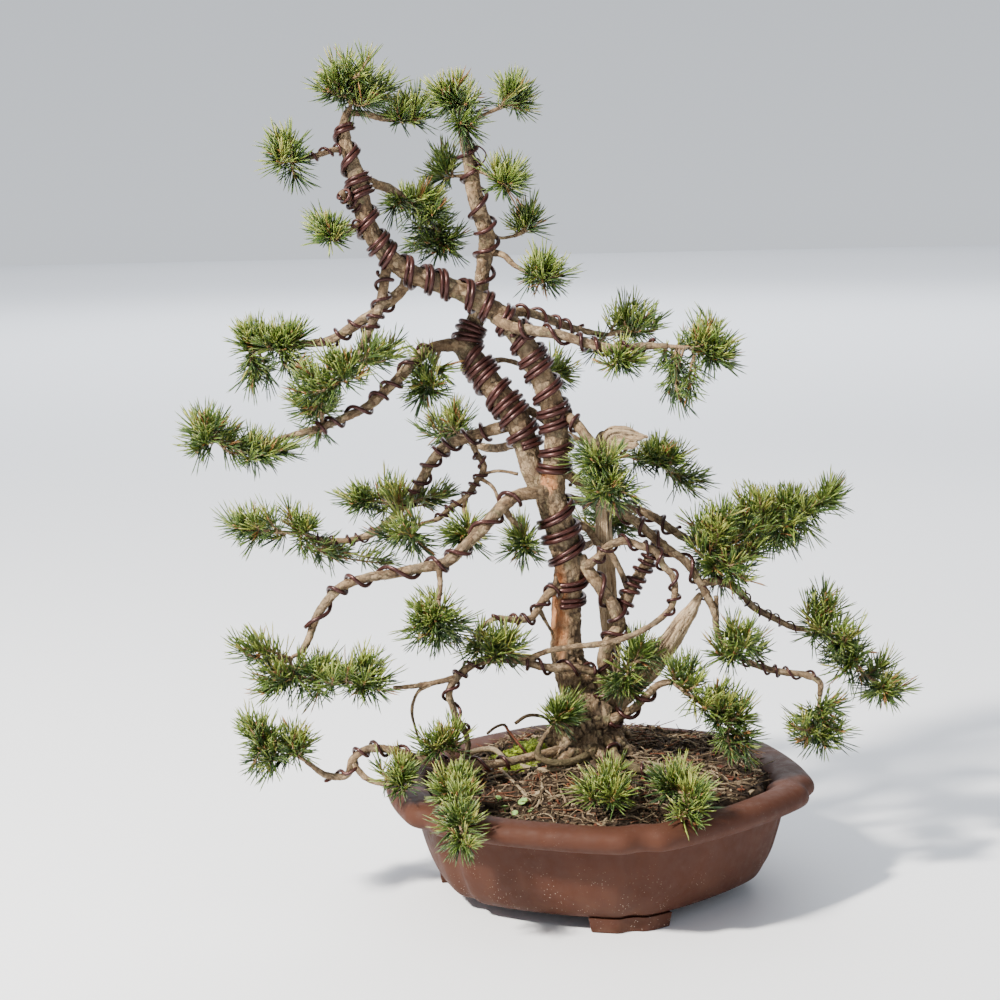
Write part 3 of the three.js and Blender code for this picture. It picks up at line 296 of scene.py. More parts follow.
        (522, 440, 22, 6.5), (500, 448, 70, 5.4), (480, 446, 110, 4.6), (462, 436, 145, 3.6),
    ],
    "front_root_branch": [
        (600, 738, -8, 8), (610, 744, -30, 6), (616, 757, -52, 5.4), (632, 767, -70, 5),
        (652, 772, -84, 4.6), (668, 776, -96, 3.4),
    ],
    "front_left_root_branch": [
        (598, 738, -12, 6.5), (594, 750, -34, 5), (574, 761, -48, 4.6), (552, 763, -54, 4.2),
        (538, 756, -52, 3.8), (541, 743, -46, 3), (549, 730, -40, 2.2),
    ],
    "bottom_left_branch": [
        (572, 748, -12, 6.5), (535, 756, -38, 5), (495, 764, -54, 4.8), (460, 764, -62, 5.2),
        (425, 761, -68, 5), (396, 751, -72, 4.8), (368, 749, -74, 4.6), (353, 759, -74, 4.4),
        (347, 775, -74, 4.2), (326, 775, -74, 3.8), (306, 761, -74, 3),
    ],
    "rim_twig": [
        (353, 764, -74, 3.8), (366, 778, -78, 3.4), (386, 785, -82, 2.6),
    ],
}

# How much the girth of the thick limbs swells and flattens
ROUGHNESS = {
    "root_stock": 0.1, "burr": 0.12, "trunk": 0.06, "left_trunk": 0.05, "right_trunk": 0.05,
    "dead_trunk": 0.1, "peeled_branch": 0.08, "live_vein": 0.04,
}
THICK_LIMBS = list(ROUGHNESS)

# Wire wound round the wood: name, limb, share of the limb where it starts and ends, turns, radius
WIRES = [
    ("wire_trunk", "trunk", 0.44, 0.9, 4.5, 2.4),
    ("wire_left_trunk", "left_trunk", 0.15, 0.5, 9.5, 2.3),
    ("wire_left_trunk_top", "left_trunk", 0.55, 0.95, 6.5, 2),
    ("wire_right_trunk", "right_trunk", 0.06, 0.4, 8.5, 2.3),
    ("wire_right_trunk_top", "right_trunk", 0.44, 0.95, 11.5, 2.3),
    ("wire_long_left", "long_left_branch", 0.12, 0.92, 7.5, 1.9),
    ("wire_upper_left", "upper_left_branch", 0.14, 0.66, 6.5, 1.8),
    ("wire_right", "right_branch", 0.14, 0.9, 5.5, 1.8),
    ("trunk_second_wire", "trunk", 0.464, 0.924, 4.5, 2.1),
    ("left_trunk_second_wire", "left_trunk", 0.1615, 0.5115, 9.5, 2),
    ("right_trunk_second_wire", "right_trunk", 0.0705, 0.4105, 8.5, 1.9),
    ("right_trunk_third_wire", "right_trunk", 0.45, 0.96, 11.5, 1.7),
    ("cross_left_wire", "cross_left_branch", 0.12, 0.8, 4.5, 1.7),
    ("back_left_wire", "back_left_branch", 0.2, 0.75, 4, 1.7),
    ("lower_left_wire", "lower_left_branch", 0.1, 0.62, 8, 1.8),
    ("lower_left_end_wire", "lower_left_branch", 0.66, 0.95, 5.5, 1.1),
    ("top_left_wire", "top_left_twig", 0.15, 0.8, 3.5, 1.3),
    ("stub_wire", "wired_stub", 0.1, 0.9, 3, 1.6),
    ("small_left_wire", "small_left_twig", 0.15, 0.9, 3, 1.2),
    ("inner_wire", "inner_twig", 0.15, 0.9, 7.5, 1.4),
    ("mid_left_wire", "mid_left_branch", 0.15, 0.8, 4.5, 1.6),
    ("loop_wire", "loop_branch", 0.05, 0.5, 7, 1.5),
    ("low_left_wire", "low_left_branch", 0.1, 0.85, 9, 1.6),
    ("vein_wire", "live_vein", 0.1, 0.9, 5, 2),
    ("bound_wire", "bound_branch", 0.1, 0.95, 9, 1.9),
    ("straight_right_wire", "straight_right_branch", 0.1, 0.45, 2.2, 1.8),
    ("high_right_wire", "high_right_branch", 0.15, 0.8, 4.5, 1.6),
    ("mid_right_wire", "mid_right_branch", 0.1, 0.75, 5.5, 1.7),
    ("far_right_wire", "far_right_branch", 0.2, 0.7, 3.5, 1.6),
    ("low_right_wire", "low_right_branch", 0.15, 0.7, 2.5, 2),
    ("front_root_wire", "front_root_branch", 0.25, 0.8, 3, 1.5),
    ("bottom_left_wire", "bottom_left_branch", 0.25, 0.9, 8, 1.6),
    ("outer_right_wire", "outer_right_branch", 0.1, 0.9, 8, 0.8),
    ("drooping_wire", "drooping_branch", 0.1, 0.8, 5, 1.2),
]

# Sprays: name, points of the stem on the sheet, and bushes of needles as across, down, half width,
# half height, behind and how full it is
SPRAYS = [
    ("crown_top", [(350, 108, -10), (351, 96, -10), (347, 80, -8)], [
        (352, 84, 46, 44, -6, 6), (332, 84, 24, 24, -30, 2), (378, 92, 28, 28, 8, 3),
    ]),
    ("crown_side", [(400, 121, 12), (410, 122, 14)], [
        (404, 112, 32, 28, 16, 4),
    ]),
    ("second_top", [(460, 118, 14), (458, 106, 14), (456, 98, 12)], [
        (456, 100, 40, 34, 10, 6), (466, 128, 26, 22, 0, 2),
    ]),
    ("second_top_right", [(490, 112, 30), (502, 107, 34), (514, 104, 38)], [
        (516, 98, 24, 22, 38, 3),
    ]),
    ("top_left_tuft", [(292, 162, -38), (287, 160, -40)], [
        (281, 148, 16, 22, -40, 3), (294, 172, 14, 18, -38, 1),
    ]),
    ("second_left", [(454, 176, 36), (447, 176, 40)], [
        (446, 171, 22, 14, 42, 2),
    ]),
    ("second_right", [(496, 180, 4), (506, 186, 0)], [
        (506, 182, 28, 22, -2, 3),
    ]),
    ("back_top", [(400, 194, 28), (412, 204, 40), (428, 220, 50), (444, 238, 54)], [
        (422, 206, 40, 28, 46, 5), (432, 240, 44, 34, 56, 6), (396, 208, 22, 22, 30, 1),
    ]),
    ("thin_right", [(514, 236, 52), (524, 232, 56)], [
        (528, 231, 22, 20, 58, 2),
    ]),
    ("top_right", [(528, 273, 16), (540, 277, 12)], [
        (544, 276, 34, 26, 10, 4),
    ]),
    ("small_left", [(342, 237, -40), (330, 238, -46)], [
        (330, 234, 30, 24, -46, 3),
    ]),
    ("back_left", [(278, 349, 46), (262, 350, 50), (250, 352, 52)], [
        (252, 343, 26, 22, 52, 3), (290, 338, 26, 20, 42, 2), (256, 376, 28, 26, 58, 3),
        (276, 350, 28, 24, 34, 4), (302, 370, 20, 16, 26, 2),
    ]),
    ("cross_left", [(356, 361, -38), (346, 374, -42), (334, 384, -44)], [
        (384, 354, 34, 26, -34, 3), (344, 374, 34, 28, -44, 4), (308, 388, 32, 32, -48, 3),
    ]),
    ("upper_left_mid", [(322, 421.5, -28), (320, 412, -30), (318, 406, -32)], [
        (312, 408, 34, 24, -34, 3), (322, 436, 30, 18, -26, 1),
    ]),
    ("upper_left_end", [(216, 441, -58), (206, 440, -60)], [
        (206, 430, 28, 26, -60, 4), (204, 450, 26, 20, -66, 1), (226, 436, 18, 20, -48, 1),
        (280, 452, 24, 14, -46, 2), (246, 452, 20, 16, -50, 2),
    ]),
    ("upper_left_under", [(250, 453.8, -50), (254, 457, -50)], [
        (262, 454, 28, 18, -50, 2),
    ]),
    ("lower_left_top", [(398, 505.5, 70), (388, 503, 74), (368, 501, 78)], [
        (360, 500, 32, 24, 80, 3), (396, 500, 32, 20, 70, 3),
        (443, 496, 20, 13, 60, 2),
    ]),
    ("lower_left_end", [(306, 534, 80), (280, 532, 86), (252, 531, 90)], [
        (304, 534, 24, 30, 82, 3), (250, 526, 38, 22, 90, 4), (330, 556, 36, 22, 84, 3),
        (386, 562, 13, 13, 66, 1),
    ]),
    ("inner_left", [(424, 523, 22), (412, 530, 18)], [
        (396, 536, 36, 20, 12, 3), (420, 546, 22, 20, 16, 1),
    ]),
    ("inner_drop_tuft", [(467, 526, 20), (467, 533, 18)], [
        (466, 538, 26, 24, 16, 3),
    ]),
    ("under_tuft", [(526, 538, -4), (524, 544, -4)], [
        (520, 548, 28, 22, -2, 3),
    ]),
    ("gap_left", [(440, 350, 25), (432, 372, 16), (428, 384, 12)], [
        (426, 388, 28, 26, 8, 4),
    ]),
    ("behind_trunk", [(530, 372, 62), (546, 372, 66)], [
        (558, 372, 28, 26, 68, 3),
    ]),
    ("high_right", [(606, 335, 74), (624, 330, 80)], [
        (636, 322, 40, 30, 84, 5), (590, 348, 34, 18, 60, 1),
    ]),
    ("right_end", [(668, 346, -54), (690, 348, -58), (708, 350, -60)], [
        (704, 336, 30, 28, -58, 3), (718, 356, 28, 30, -62, 3), (672, 362, 26, 20, -50, 1),
        (680, 390, 30, 24, -56, 3),
    ]),
    ("right_under", [(616, 354.6, -46), (618, 360, -46)], [
        (616, 364, 32, 18, -46, 2),
    ]),
    ("straight_right", [(597, 447, -24), (604, 462, -30), (608, 482, -34)], [
        (600, 464, 38, 30, -32, 5), (612, 492, 40, 30, -38, 5),
    ]),
    ("back_right", [(588, 445, 54), (612, 450, 58), (640, 460, 60), (664, 466, 62)], [
        (662, 458, 34, 24, 62, 4), (694, 484, 26, 24, 58, 2),
    ]),
    ("right_mass_inner", [(706, 541, 8), (712, 552, -4), (722, 566, -12)], [
        (712, 534, 40, 40, 0, 6), (728, 572, 40, 32, -16, 5),
        (752, 540, 34, 32, -4, 5), (722, 524, 30, 30, -16, 4),
    ]),
    ("right_mass_outer", [(748, 528, 6), (772, 522, 4), (798, 512, 2), (816, 505, 0)], [
        (752, 508, 36, 32, 4, 5), (792, 516, 38, 34, 0, 6), (830, 494, 26, 24, 0, 2),
        (775, 536, 28, 24, 8, 3),
    ]),
    ("outer_right", [(808, 630, 24), (822, 630, 24), (840, 650, 22), (862, 672, 20), (880, 684, 18)], [
        (824, 604, 32, 28, 24, 4), (836, 636, 46, 24, 24, 4), (846, 664, 32, 24, 20, 2),
        (886, 690, 32, 26, 18, 4),
    ]),
    ("hanging_right", [(732, 653, -28.5), (736, 645, -30), (742, 642, -32)], [
        (740, 648, 40, 32, -32, 5),
    ]),
    ("drooping_end", [(820, 696, -42), (818, 712, -42), (816, 726, -42)], [
        (816, 732, 42, 34, -42, 6), (832, 706, 20, 16, -36, 1),
    ]),
    ("low_right", [(672, 682, -44), (688, 694, -50), (710, 708, -56), (730, 726, -60)], [
        (684, 678, 32, 26, -48, 3), (726, 712, 40, 30, -56, 5), (738, 746, 32, 30, -62, 3),
    ]),
    ("near_trunk", [(618, 674, -12), (628, 666, -20), (640, 660, -26)], [
        (642, 656, 34, 26, -28, 3), (624, 686, 28, 28, -30, 3),
    ]),
    ("long_left_end", [
        (302, 652, -62), (290, 660, -64), (300, 676, -66), (330, 682, -68), (364, 682, -68),
    ], [
        (254, 650, 30, 30, -64, 3), (274, 684, 34, 28, -72, 3), (314, 678, 36, 34, -60, 4),
        (360, 680, 44, 32, -66, 5),
    ]),
    ("hanging_left", [(439, 600, -58), (438, 612, -60), (436, 622, -60)], [
        (434, 626, 42, 40, -60, 8),
    ]),
    ("mid_left", [(474, 634, -30), (482, 644, -32), (498, 650, -32)], [
        (496, 650, 44, 26, -32, 6),
    ]),
    ("bottom_left", [(306, 761, -74), (290, 752, -76), (268, 744, -78)], [
        (254, 730, 28, 24, -80, 3), (292, 744, 32, 24, -70, 3), (266, 764, 28, 22, -86, 2),
    ]),
    ("rim_left", [(386, 785, -82), (397, 782, -94)], [
        (402, 779, 22, 28, -102, 3),
    ]),
    ("pot_left", [(455, 758.5, -63), (450, 752, -66), (442, 748, -70)], [
        (438, 746, 32, 30, -74, 3),
    ]),
    ("front_right", [(668, 776, -96), (677, 788, -135), (686, 802, -175)], [
        (684, 792, 30, 26, -140, 3), (688, 818, 28, 32, -208, 2),
    ]),
    ("base_tuft", [(549, 730, -40), (556, 722, -42)], [
        (564, 714, 24, 22, -44, 3),
    ]),
    ("front_middle", [(622, 762, -60), (612, 776, -100), (606, 790, -138)], [
        (604, 794, 36, 24, -158, 5),
    ]),
    ("front_left", [
        (478, 767, -56), (468, 784, -104), (461, 800, -159), (460, 822, -188), (463, 833, -196),
    ], [
        (456, 796, 32, 28, -150, 3), (464, 832, 26, 34, -204, 3),
    ]),
    ("rear", [(606, 530, 165), (612, 522, 176)], [
        (606, 522, 50, 36, 176, 6),
    ]),
    ("rear_left", [(462, 436, 145), (452, 430, 154)], [
        (450, 430, 44, 34, 156, 5),
    ]),
]

# Splintered dead wood on the dead trunk's head
SHARDS = [
    [(604, 456, 28, 5.5), (598, 444, 26, 4), (601, 433, 22, 2.4), (611, 428, 20, 1)],
    [(606, 446, 24, 6), (618, 446, 16, 4), (632, 447, 12, 2.4), (640, 444, 10, 0.8)],
    [(612, 434, 22, 5), (624, 429, 26, 3.4), (638, 433, 26, 1)],
    [(616, 436, 20, 5), (634, 440, 14, 3), (650, 436, 12, 0.8)],
]

# Small bare twigs and pegs: the route, each point with the radius
TWIGS = [
    [(431, 684, -46, 2.4), (418, 692, -46, 1.8), (412, 710, -46, 1.6), (416, 730, -46, 1.3),
        (421, 745, -46, 1)],
    [(562, 596, 4, 6), (557, 586, -5, 4), (556, 576, -9, 1)],
    [(480, 474, 34, 2), (500, 471, 30, 1.6), (518, 474, 26, 1.6)],
    [(480, 478, 32, 2.2), (492, 486, 20, 1.8), (499, 501, -8, 1.8)],
    [(716, 596, -18, 2.4), (717, 612, -16, 2), (718, 636, -14, 1.6)],
    [(602, 768, -66, 3), (596, 760, -72, 2.2), (590, 750, -76, 1.4)],
    [(540, 611, -14, 2.6), (546, 622, -6, 1.8), (553, 634, -2, 1.2)],
]

# Roots that flare from the stock into the soil: the route, each point with its radius
ROOT_FLARES = [
    [(590, 728, 6, 20), (574, 748, -12, 15), (560, 762, -30, 9), (546, 776, -46, 4)],
    [(594, 728, 6, 20), (596, 752, -22, 15), (600, 770, -44, 9), (606, 786, -66, 4)],
    [(596, 730, 10, 20), (616, 748, -6, 15), (634, 760, -16, 9), (652, 770, -26, 4)],
    [(586, 730, 20, 20), (560, 740, 34, 15), (540, 750, 48, 9), (520, 760, 62, 4)],
    [(600, 730, 26, 20), (618, 740, 54, 14), (632, 746, 84, 7)],
]

# Roots and sticks that lie on the soil: points on the sheet, then radius and tint
SURFACE_ROOTS = [
    ([(487, 735), (496, 728), (505, 726), (509, 735), (520, 750)], 1.5, 0.35),
    ([(515, 725), (528, 717), (545, 719), (552, 727)], 1.9, 0.5),
    ([(455, 772), (468, 756), (490, 751), (508, 762), (532, 771), (560, 772), (590, 771)], 2.9, 0.72),
    ([(505, 727), (528, 757), (556, 800), (566, 814)], 1.3, 0.95),
    ([(500, 770), (520, 790), (532, 806)], 1.6, 0.7),
    ([(540, 776), (542, 792), (536, 812)], 1.5, 0.75),
    ([(640, 770), (662, 760), (684, 758), (712, 750)], 1.4, 0.6),
    ([(560, 790), (566, 806), (562, 818)], 1.2, 0.8),
    ([(600, 765), (640, 762), (672, 768), (700, 760)], 1.6, 0.66),
]

Route = namedtuple("Route", "places radii normals binormals along")
Shape = namedtuple("Shape", "points faces notes finish")


def lerp(start, end, share):
    return start + (end - start) * share


def on_sheet(across, down, behind):
    right = (across - SHEET_MIDDLE) / EYE_TO_SHEET
    below = (down - SHEET_MIDDLE) / EYE_TO_SHEET
    level_right = right * math.cos(SHEET_LEAN) - below * math.sin(SHEET_LEAN)
    level_below = right * math.sin(SHEET_LEAN) + below * math.cos(SHEET_LEAN)
    sight = Vector((
        level_right,
        math.cos(EYE_TILT) - level_below * math.sin(EYE_TILT),
        -math.sin(EYE_TILT) - level_below * math.cos(EYE_TILT),
    ))
    return EYE + sight * ((behind + TREE_SHIFT.y - EYE.y) / sight.y)


def lobed(radius, angle, notch):
    """Distance of the pot's outline from its axis: bulging sides, with a notch at each corner."""
    turn = (angle - CORNERS[0]) % 360 + CORNERS[0]
    side = next((i for i in range(5) if turn < CORNERS[i + 1]), 5)
    half = (CORNERS[side + 1] - CORNERS[side]) / 2
    from_middle = turn - CORNERS[side] - half
    straight = math.cos(math.radians(half)) / math.cos(math.radians(from_middle))
    flatness = SIDE_FLATNESS * min(1, radius / 60)
    dent = notch * math.exp(-(((half - abs(from_middle)) / NOTCH_WIDTH) ** 2))
    return radius * (1 - flatness + flatness * straight) - dent


def on_pot(radius, angle, notch):
    reach = lobed(radius, angle, notch)
    turn = math.radians(angle)
    return POT_MIDDLE + Vector((reach * math.cos(turn), reach * math.sin(turn), 0))


def soil_height(x, y):
    away = math.hypot(x - MOUND_MIDDLE.x, y - MOUND_MIDDLE.y) / MOUND_RADIUS
    mound = SOIL_MOUND * math.exp(-(away**2.6))
    east, north = x - TREE_SHIFT.x, y - TREE_SHIFT.y
    lumps = 2.2 * math.sin(east / 17 + 0.6) * math.cos(north / 14) + 1.3 * math.sin(east / 7.3 - north / 9.1)
    return SOIL_EDGE + mound + lumps


def on_soil(across, down):
    """Where the line of sight through a point of the sheet meets the soil, or passes it closest."""
    closest = math.inf
    for behind in SOIL_REACH:
        place = on_sheet(across, down, behind)
        above = place.z - soil_height(place.x, place.y)
        if above < closest:
            closest, found = above, place
        if above <= 0:
            break
    return found


def inside_pot(place):
    east, north = place[0] - POT_MIDDLE.x, place[1] - POT_MIDDLE.y
    reach = math.hypot(east, north)
    if reach > RIM_RADIUS:
        return False
    rim = lobed(RIM_RADIUS, math.degrees(math.atan2(north, east)), 0)
    earth = soil_height(place[0], place[1]) if reach < MOUND_RADIUS else 0
    return reach < rim and place[2] < max(POT_HEIGHT, earth)


def spline(points, per_span=24):
    """Points along the centripetal spline through the given ones."""
    ends = np.vstack([2 * points[0] - points[1], points, 2 * points[-1] - points[-2]])
    share = np.linspace(0, 1, per_span, endpoint=False)[:, None]
    curve = []
    for before, start, end, after in zip(ends, ends[1:], ends[2:], ends[3:]):
        first = np.linalg.norm(start - before) ** 0.5
        second = first + np.linalg.norm(end - start) ** 0.5
        third = second + np.linalg.norm(after - end) ** 0.5
        now = first + (second - first) * share
        back = (first - now) / first * before + now / first * start
        here = (second - now) / (second - first) * start + (now - first) / (second - first) * end
        on = (third - now) / (third - second) * end + (now - second) / (third - second) * after
        early = (second - now) / second * back + now / second * here
        late = (third - now) / (third - first) * here + (now - first) / (third - first) * on
        curve.append((second - now) / (second - first) * early + (now - first) / (second - first) * late)
    return np.vstack([*curve, points[-1:]])


def frames(places):
    """Two directions across the route at each place, which don't twist on the way."""
    ahead = np.gradient(places, axis=0)
    ahead /= np.linalg.norm(ahead, axis=1)[:, None]
    across = np.cross(ahead[0], np.eye(3)[np.argmin(np.abs(ahead[0]))])
    normals = [np.cross(ahead[0], across / np.linalg.norm(across))]
    for direction in ahead[1:]:
        turned = normals[-1] - direction * np.dot(normals[-1], direction)
        normals.append(turned / np.linalg.norm(turned))
    return np.array(normals), np.cross(ahead, normals)


def even_route(fine, thick, step):
    """The route through fine places and thicknesses, measured off in even steps."""
    reach = np.r_[0, np.cumsum(np.linalg.norm(np.diff(fine, axis=0), axis=1))]
    count = max(2, round(reach[-1] / step))
    along = np.linspace(0, reach[-1], count + 1)
    places = np.column_stack([np.interp(along, reach, fine[:, axis]) for axis in range(3)])
    return Route(places, np.interp(along, reach, thick), *frames(places), along)


def follow(rows, step):
    """The route of a limb through points on the sheet, each with the limb's radius there."""
    fine = spline(np.array([on_sheet(*row[:3]) for row in rows]))
    thick = np.interp(np.linspace(0, len(rows) - 1, len(fine)), range(len(rows)), [row[3] for row in rows])
    return even_route(fine, thick, step)


def thread(points, radii, step):
    """The route of a twig, root or wire through places in the tree's own space."""
    fine = spline(np.array(points, float), 8)
    thick = np.interp(np.linspace(0, 1, len(fine)), np.linspace(0, 1, len(radii)), radii)
    return even_route(fine, thick, step)


def drawn(bm):
    """The corner places and triangles of a mesh under construction."""
    bmesh.ops.triangulate(bm, faces=bm.faces)
    bm.verts.index_update()
    points = np.array([vert.co for vert in bm.verts])
    faces = np.array([[vert.index for vert in face.verts] for face in bm.faces])
    bm.free()
    return points, faces


def upright_edges(bm):
    return [edge for edge in bm.edges if abs(edge.verts[0].co.z - edge.verts[1].co.z) > 0.5]


@lru_cache(maxsize=None)
def stick(sides, rings):
    """A unit rod along Z, divided into evenly spaced rings."""
    bm = bmesh.new()
    bmesh.ops.create_cone(bm, cap_ends=True, segments=sides, radius1=1, radius2=1, depth=1)
    if rings > 1:
        bmesh.ops.subdivide_edges(bm, edges=upright_edges(bm), cuts=rings - 1, use_grid_fill=True)
    return drawn(bm)


def tube(route, sides, relief=None, **notes):
    """A closed limb, twig or wire along a route; relief gives the bark's height at each corner."""
    rings = len(route.places) - 1
    points, faces = stick(sides, rings)
    ring = np.rint((points[:, 2] + 0.5) * rings).astype(int)
    spread = points[:, :2] * route.radii[ring][:, None]
    grain = np.column_stack([spread, route.along[ring]]) * GRAIN_SCALE
    made = {"grain": grain}
    if relief is not None:
        height, crack = relief(grain, route.radii[ring])
        spread = spread * (1 + height / np.maximum(route.radii[ring], 1))[:, None]
        made["crack"] = crack
    placed = route.places[ring] + spread[:, :1] * route.normals[ring] + spread[:, 1:] * route.binormals[ring]
    made.update({name: np.full(len(points), float(value)) for name, value in notes.items()})
    return Shape(placed, faces, made, 0)


def copies(template, places, finish=0, **notes):
    """One copy of a small shape for each matrix, with a value of each note for each copy."""
    points, faces = template
    spots = np.array([[list(row) for row in place] for place in places])[:, :3]
    made = (spots @ np.c_[points, np.ones(len(points))].T).transpose(0, 2, 1).reshape(-1, 3)
    numbers = (faces[None] + np.arange(len(places))[:, None, None] * len(points)).reshape(-1, 3)
    each = {name: np.repeat(np.array(values, float), len(points)) for name, values in notes.items()}
    each["height"] = np.tile(points[:, 2], len(places))
    return Shape(made, numbers, each, finish)


def piece(name, shapes, slot, finishes, *nodes, sharp_over=180):
    """Joins shapes into one piece of the tree, which stands for the given CAD nodes."""
    mesh = bpy.data.meshes.new(name)
    starts = np.cumsum([0] + [len(shape.points) for shape in shapes])
    points = np.vstack([shape.points for shape in shapes]) * MM
    faces = np.vstack([shape.faces + start for shape, start in zip(shapes, starts)])
    mesh.from_pydata(points.tolist(), [], faces.tolist())
    for note in sorted({key for shape in shapes for key in shape.notes}):
        wide = 3 if note == "grain" else 1
        values = np.zeros((len(points), wide))
        for shape, start in zip(shapes, starts):
            if note in shape.notes:
                values[start:start + len(shape.points)] = shape.notes[note].reshape(-1, wide)
        kind = "FLOAT_VECTOR" if wide == 3 else "FLOAT"
        layer = mesh.attributes.new(note, kind, "POINT")
        layer.data.foreach_set("vector" if wide == 3 else "value", values.ravel())
    for finish in finishes:
        mesh.materials.append(finish)
    finish_of = np.concatenate([np.full(len(shape.faces), shape.finish) for shape in shapes])
    mesh.polygons.foreach_set("material_index", finish_of.astype(np.int32))
    mesh.update()
    mesh.set_sharp_from_angle(angle=math.radians(sharp_over))
    made = bpy.data.objects.new(name, mesh)
    bpy.context.collection.objects.link(made)
    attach(made, "root")
    if nodes:
        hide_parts(*nodes)
    return made


class Finish:
    """A material whose pattern is built up node by node."""

    def __init__(self, name, roughness, metallic=0.0, shine=0.5):
        self.material = bpy.data.materials.new(name)
        self.material.use_nodes = True
        self.tree = self.material.node_tree
        self.shader = self.tree.nodes["Principled BSDF"]
        self.shader.inputs["Roughness"].default_value = roughness
        self.shader.inputs["Metallic"].default_value = metallic
        self.shader.inputs["Specular IOR Level"].default_value = shine
        self.place = self.add("ShaderNodeTexCoord").outputs["Object"]

    def add(self, kind, **settings):
        node = self.tree.nodes.new(kind)
        for key, value in settings.items():
            setattr(node, key, value)
        return node

    def feed(self, socket, value):
        if isinstance(value, bpy.types.NodeSocket):
            self.tree.links.new(value, socket)
        else:
            socket.default_value = value

    def note(self, name, output="Fac"):
        return self.add("ShaderNodeAttribute", attribute_name=name).outputs[output]

    def stretch(self, vector, *scale):
        node = self.add("ShaderNodeMapping")
        self.feed(node.inputs["Vector"], vector)
        self.feed(node.inputs["Scale"], scale)
        return node.outputs["Vector"]

    def noise(self, scale, detail, vector=None, rough=0.55):
        node = self.add("ShaderNodeTexNoise")
        self.feed(node.inputs["Vector"], vector or self.place)
        self.feed(node.inputs["Scale"], scale)
        self.feed(node.inputs["Detail"], detail)
        self.feed(node.inputs["Roughness"], rough)
        return node.outputs["Fac"]

    def warped(self, vector, scale, amount):
        """The vector pushed about by noise, so that a regular pattern on it turns ragged."""
        ripple = self.add("ShaderNodeTexNoise")
        self.feed(ripple.inputs["Vector"], vector)
        self.feed(ripple.inputs["Scale"], scale)
        push = self.add("ShaderNodeVectorMath", operation="MULTIPLY_ADD")
        self.feed(push.inputs[0], ripple.outputs["Color"])
        self.feed(push.inputs[1], (amount, amount, amount))
        self.feed(push.inputs[2], vector)
        return push.outputs["Vector"]

    def cells(self, scale, vector=None, feature="F1", output="Distance"):
        node = self.add("ShaderNodeTexVoronoi", feature=feature)
        self.feed(node.inputs["Vector"], vector or self.place)
        self.feed(node.inputs["Scale"], scale)
        return node.outputs[output]

    def ramp(self, factor, *stops):
        node = self.add("ShaderNodeValToRGB")
        self.feed(node.inputs["Fac"], factor)
        elements = node.color_ramp.elements
        while len(elements) < len(stops):
            elements.new(1.0)
        for element, (position, colour) in zip(elements, stops):
            element.position = position
            element.color = (*colour, 1) if isinstance(colour, tuple) else (colour, colour, colour, 1)
        return node.outputs["Color"]

    def blend(self, factor, first, second, kind="MIX"):
        node = self.add("ShaderNodeMix", data_type="RGBA", blend_type=kind)
        self.feed(node.inputs["Factor"], factor)
        for socket, value in ((node.inputs[6], first), (node.inputs[7], second)):
            self.feed(socket, value if isinstance(value, bpy.types.NodeSocket) else (*value, 1))
        return node.outputs[2]

    def times(self, first, second):
        return self.blend(1.0, first, second, "MULTIPLY")

    def colour(self, value):
        self.feed(self.shader.inputs["Base Color"], value)

    def roughness(self, value):
        self.feed(self.shader.inputs["Roughness"], value)

    def bump(self, height, distance, strength):
        """Relief of the given depth in millimetres, laid over what is there already."""
        node = self.add("ShaderNodeBump")
        self.feed(node.inputs["Height"], height)
        node.inputs["Distance"].default_value = distance * MM
        node.inputs["Strength"].default_value = strength
        socket = self.shader.inputs["Normal"]
        if socket.links:
            self.feed(node.inputs["Normal"], socket.links[0].from_socket)
        self.feed(socket, node.outputs["Normal"])
        return self.material


def clay_finish():
    finish = Finish("unglazed_clay", 0.7, shine=0.22)
    height = finish.add("ShaderNodeSeparateXYZ")
    finish.feed(height.inputs["Vector"], finish.place)
    body = finish.ramp(
        finish.noise(9, 5),
        (0.3, (0.043, 0.0132, 0.0062)), (0.52, (0.058, 0.0186, 0.009)), (0.75, (0.075, 0.026, 0.013)),
    )
    cloud = finish.ramp(finish.noise(55, 6), (0.35, 0.0), (0.75, 0.55))
    toned = finish.blend(cloud, body, (0.054, 0.021, 0.013))
    dust = finish.ramp(finish.noise(30, 8, rough=0.7), (0.5, 0.0), (0.72, 0.3))
    low = finish.ramp(height.outputs["Z"], (0.006, 1.0), (0.075, 0.12))
    dusty = finish.blend(finish.times(dust, low), toned, (0.16, 0.09, 0.06))
    specks = finish.ramp(finish.cells(330), (0.1, 1.0), (0.17, 0.0))
    patches = finish.ramp(finish.noise(38, 3), (0.46, 0.0), (0.62, 1.0))
    white = finish.times(finish.times(specks, patches), low)
    lime = finish.ramp(finish.noise(70, 10, rough=0.75), (0.63, 0.0), (0.7, 0.8))
    foot = finish.ramp(height.outputs["Z"], (0.016, 1.0), (0.03, 0.0))
    limed = finish.blend(finish.times(lime, foot), dusty, (0.45, 0.4, 0.35))
    finish.colour(finish.blend(white, limed, (0.5, 0.41, 0.33)))
    finish.roughness(finish.ramp(finish.noise(120, 5), (0.3, 0.6), (0.7, 0.82)))
    finish.bump(finish.noise(160, 6), 0.5, 0.35)
    return finish.bump(finish.noise(1500, 3), 0.16, 0.6)


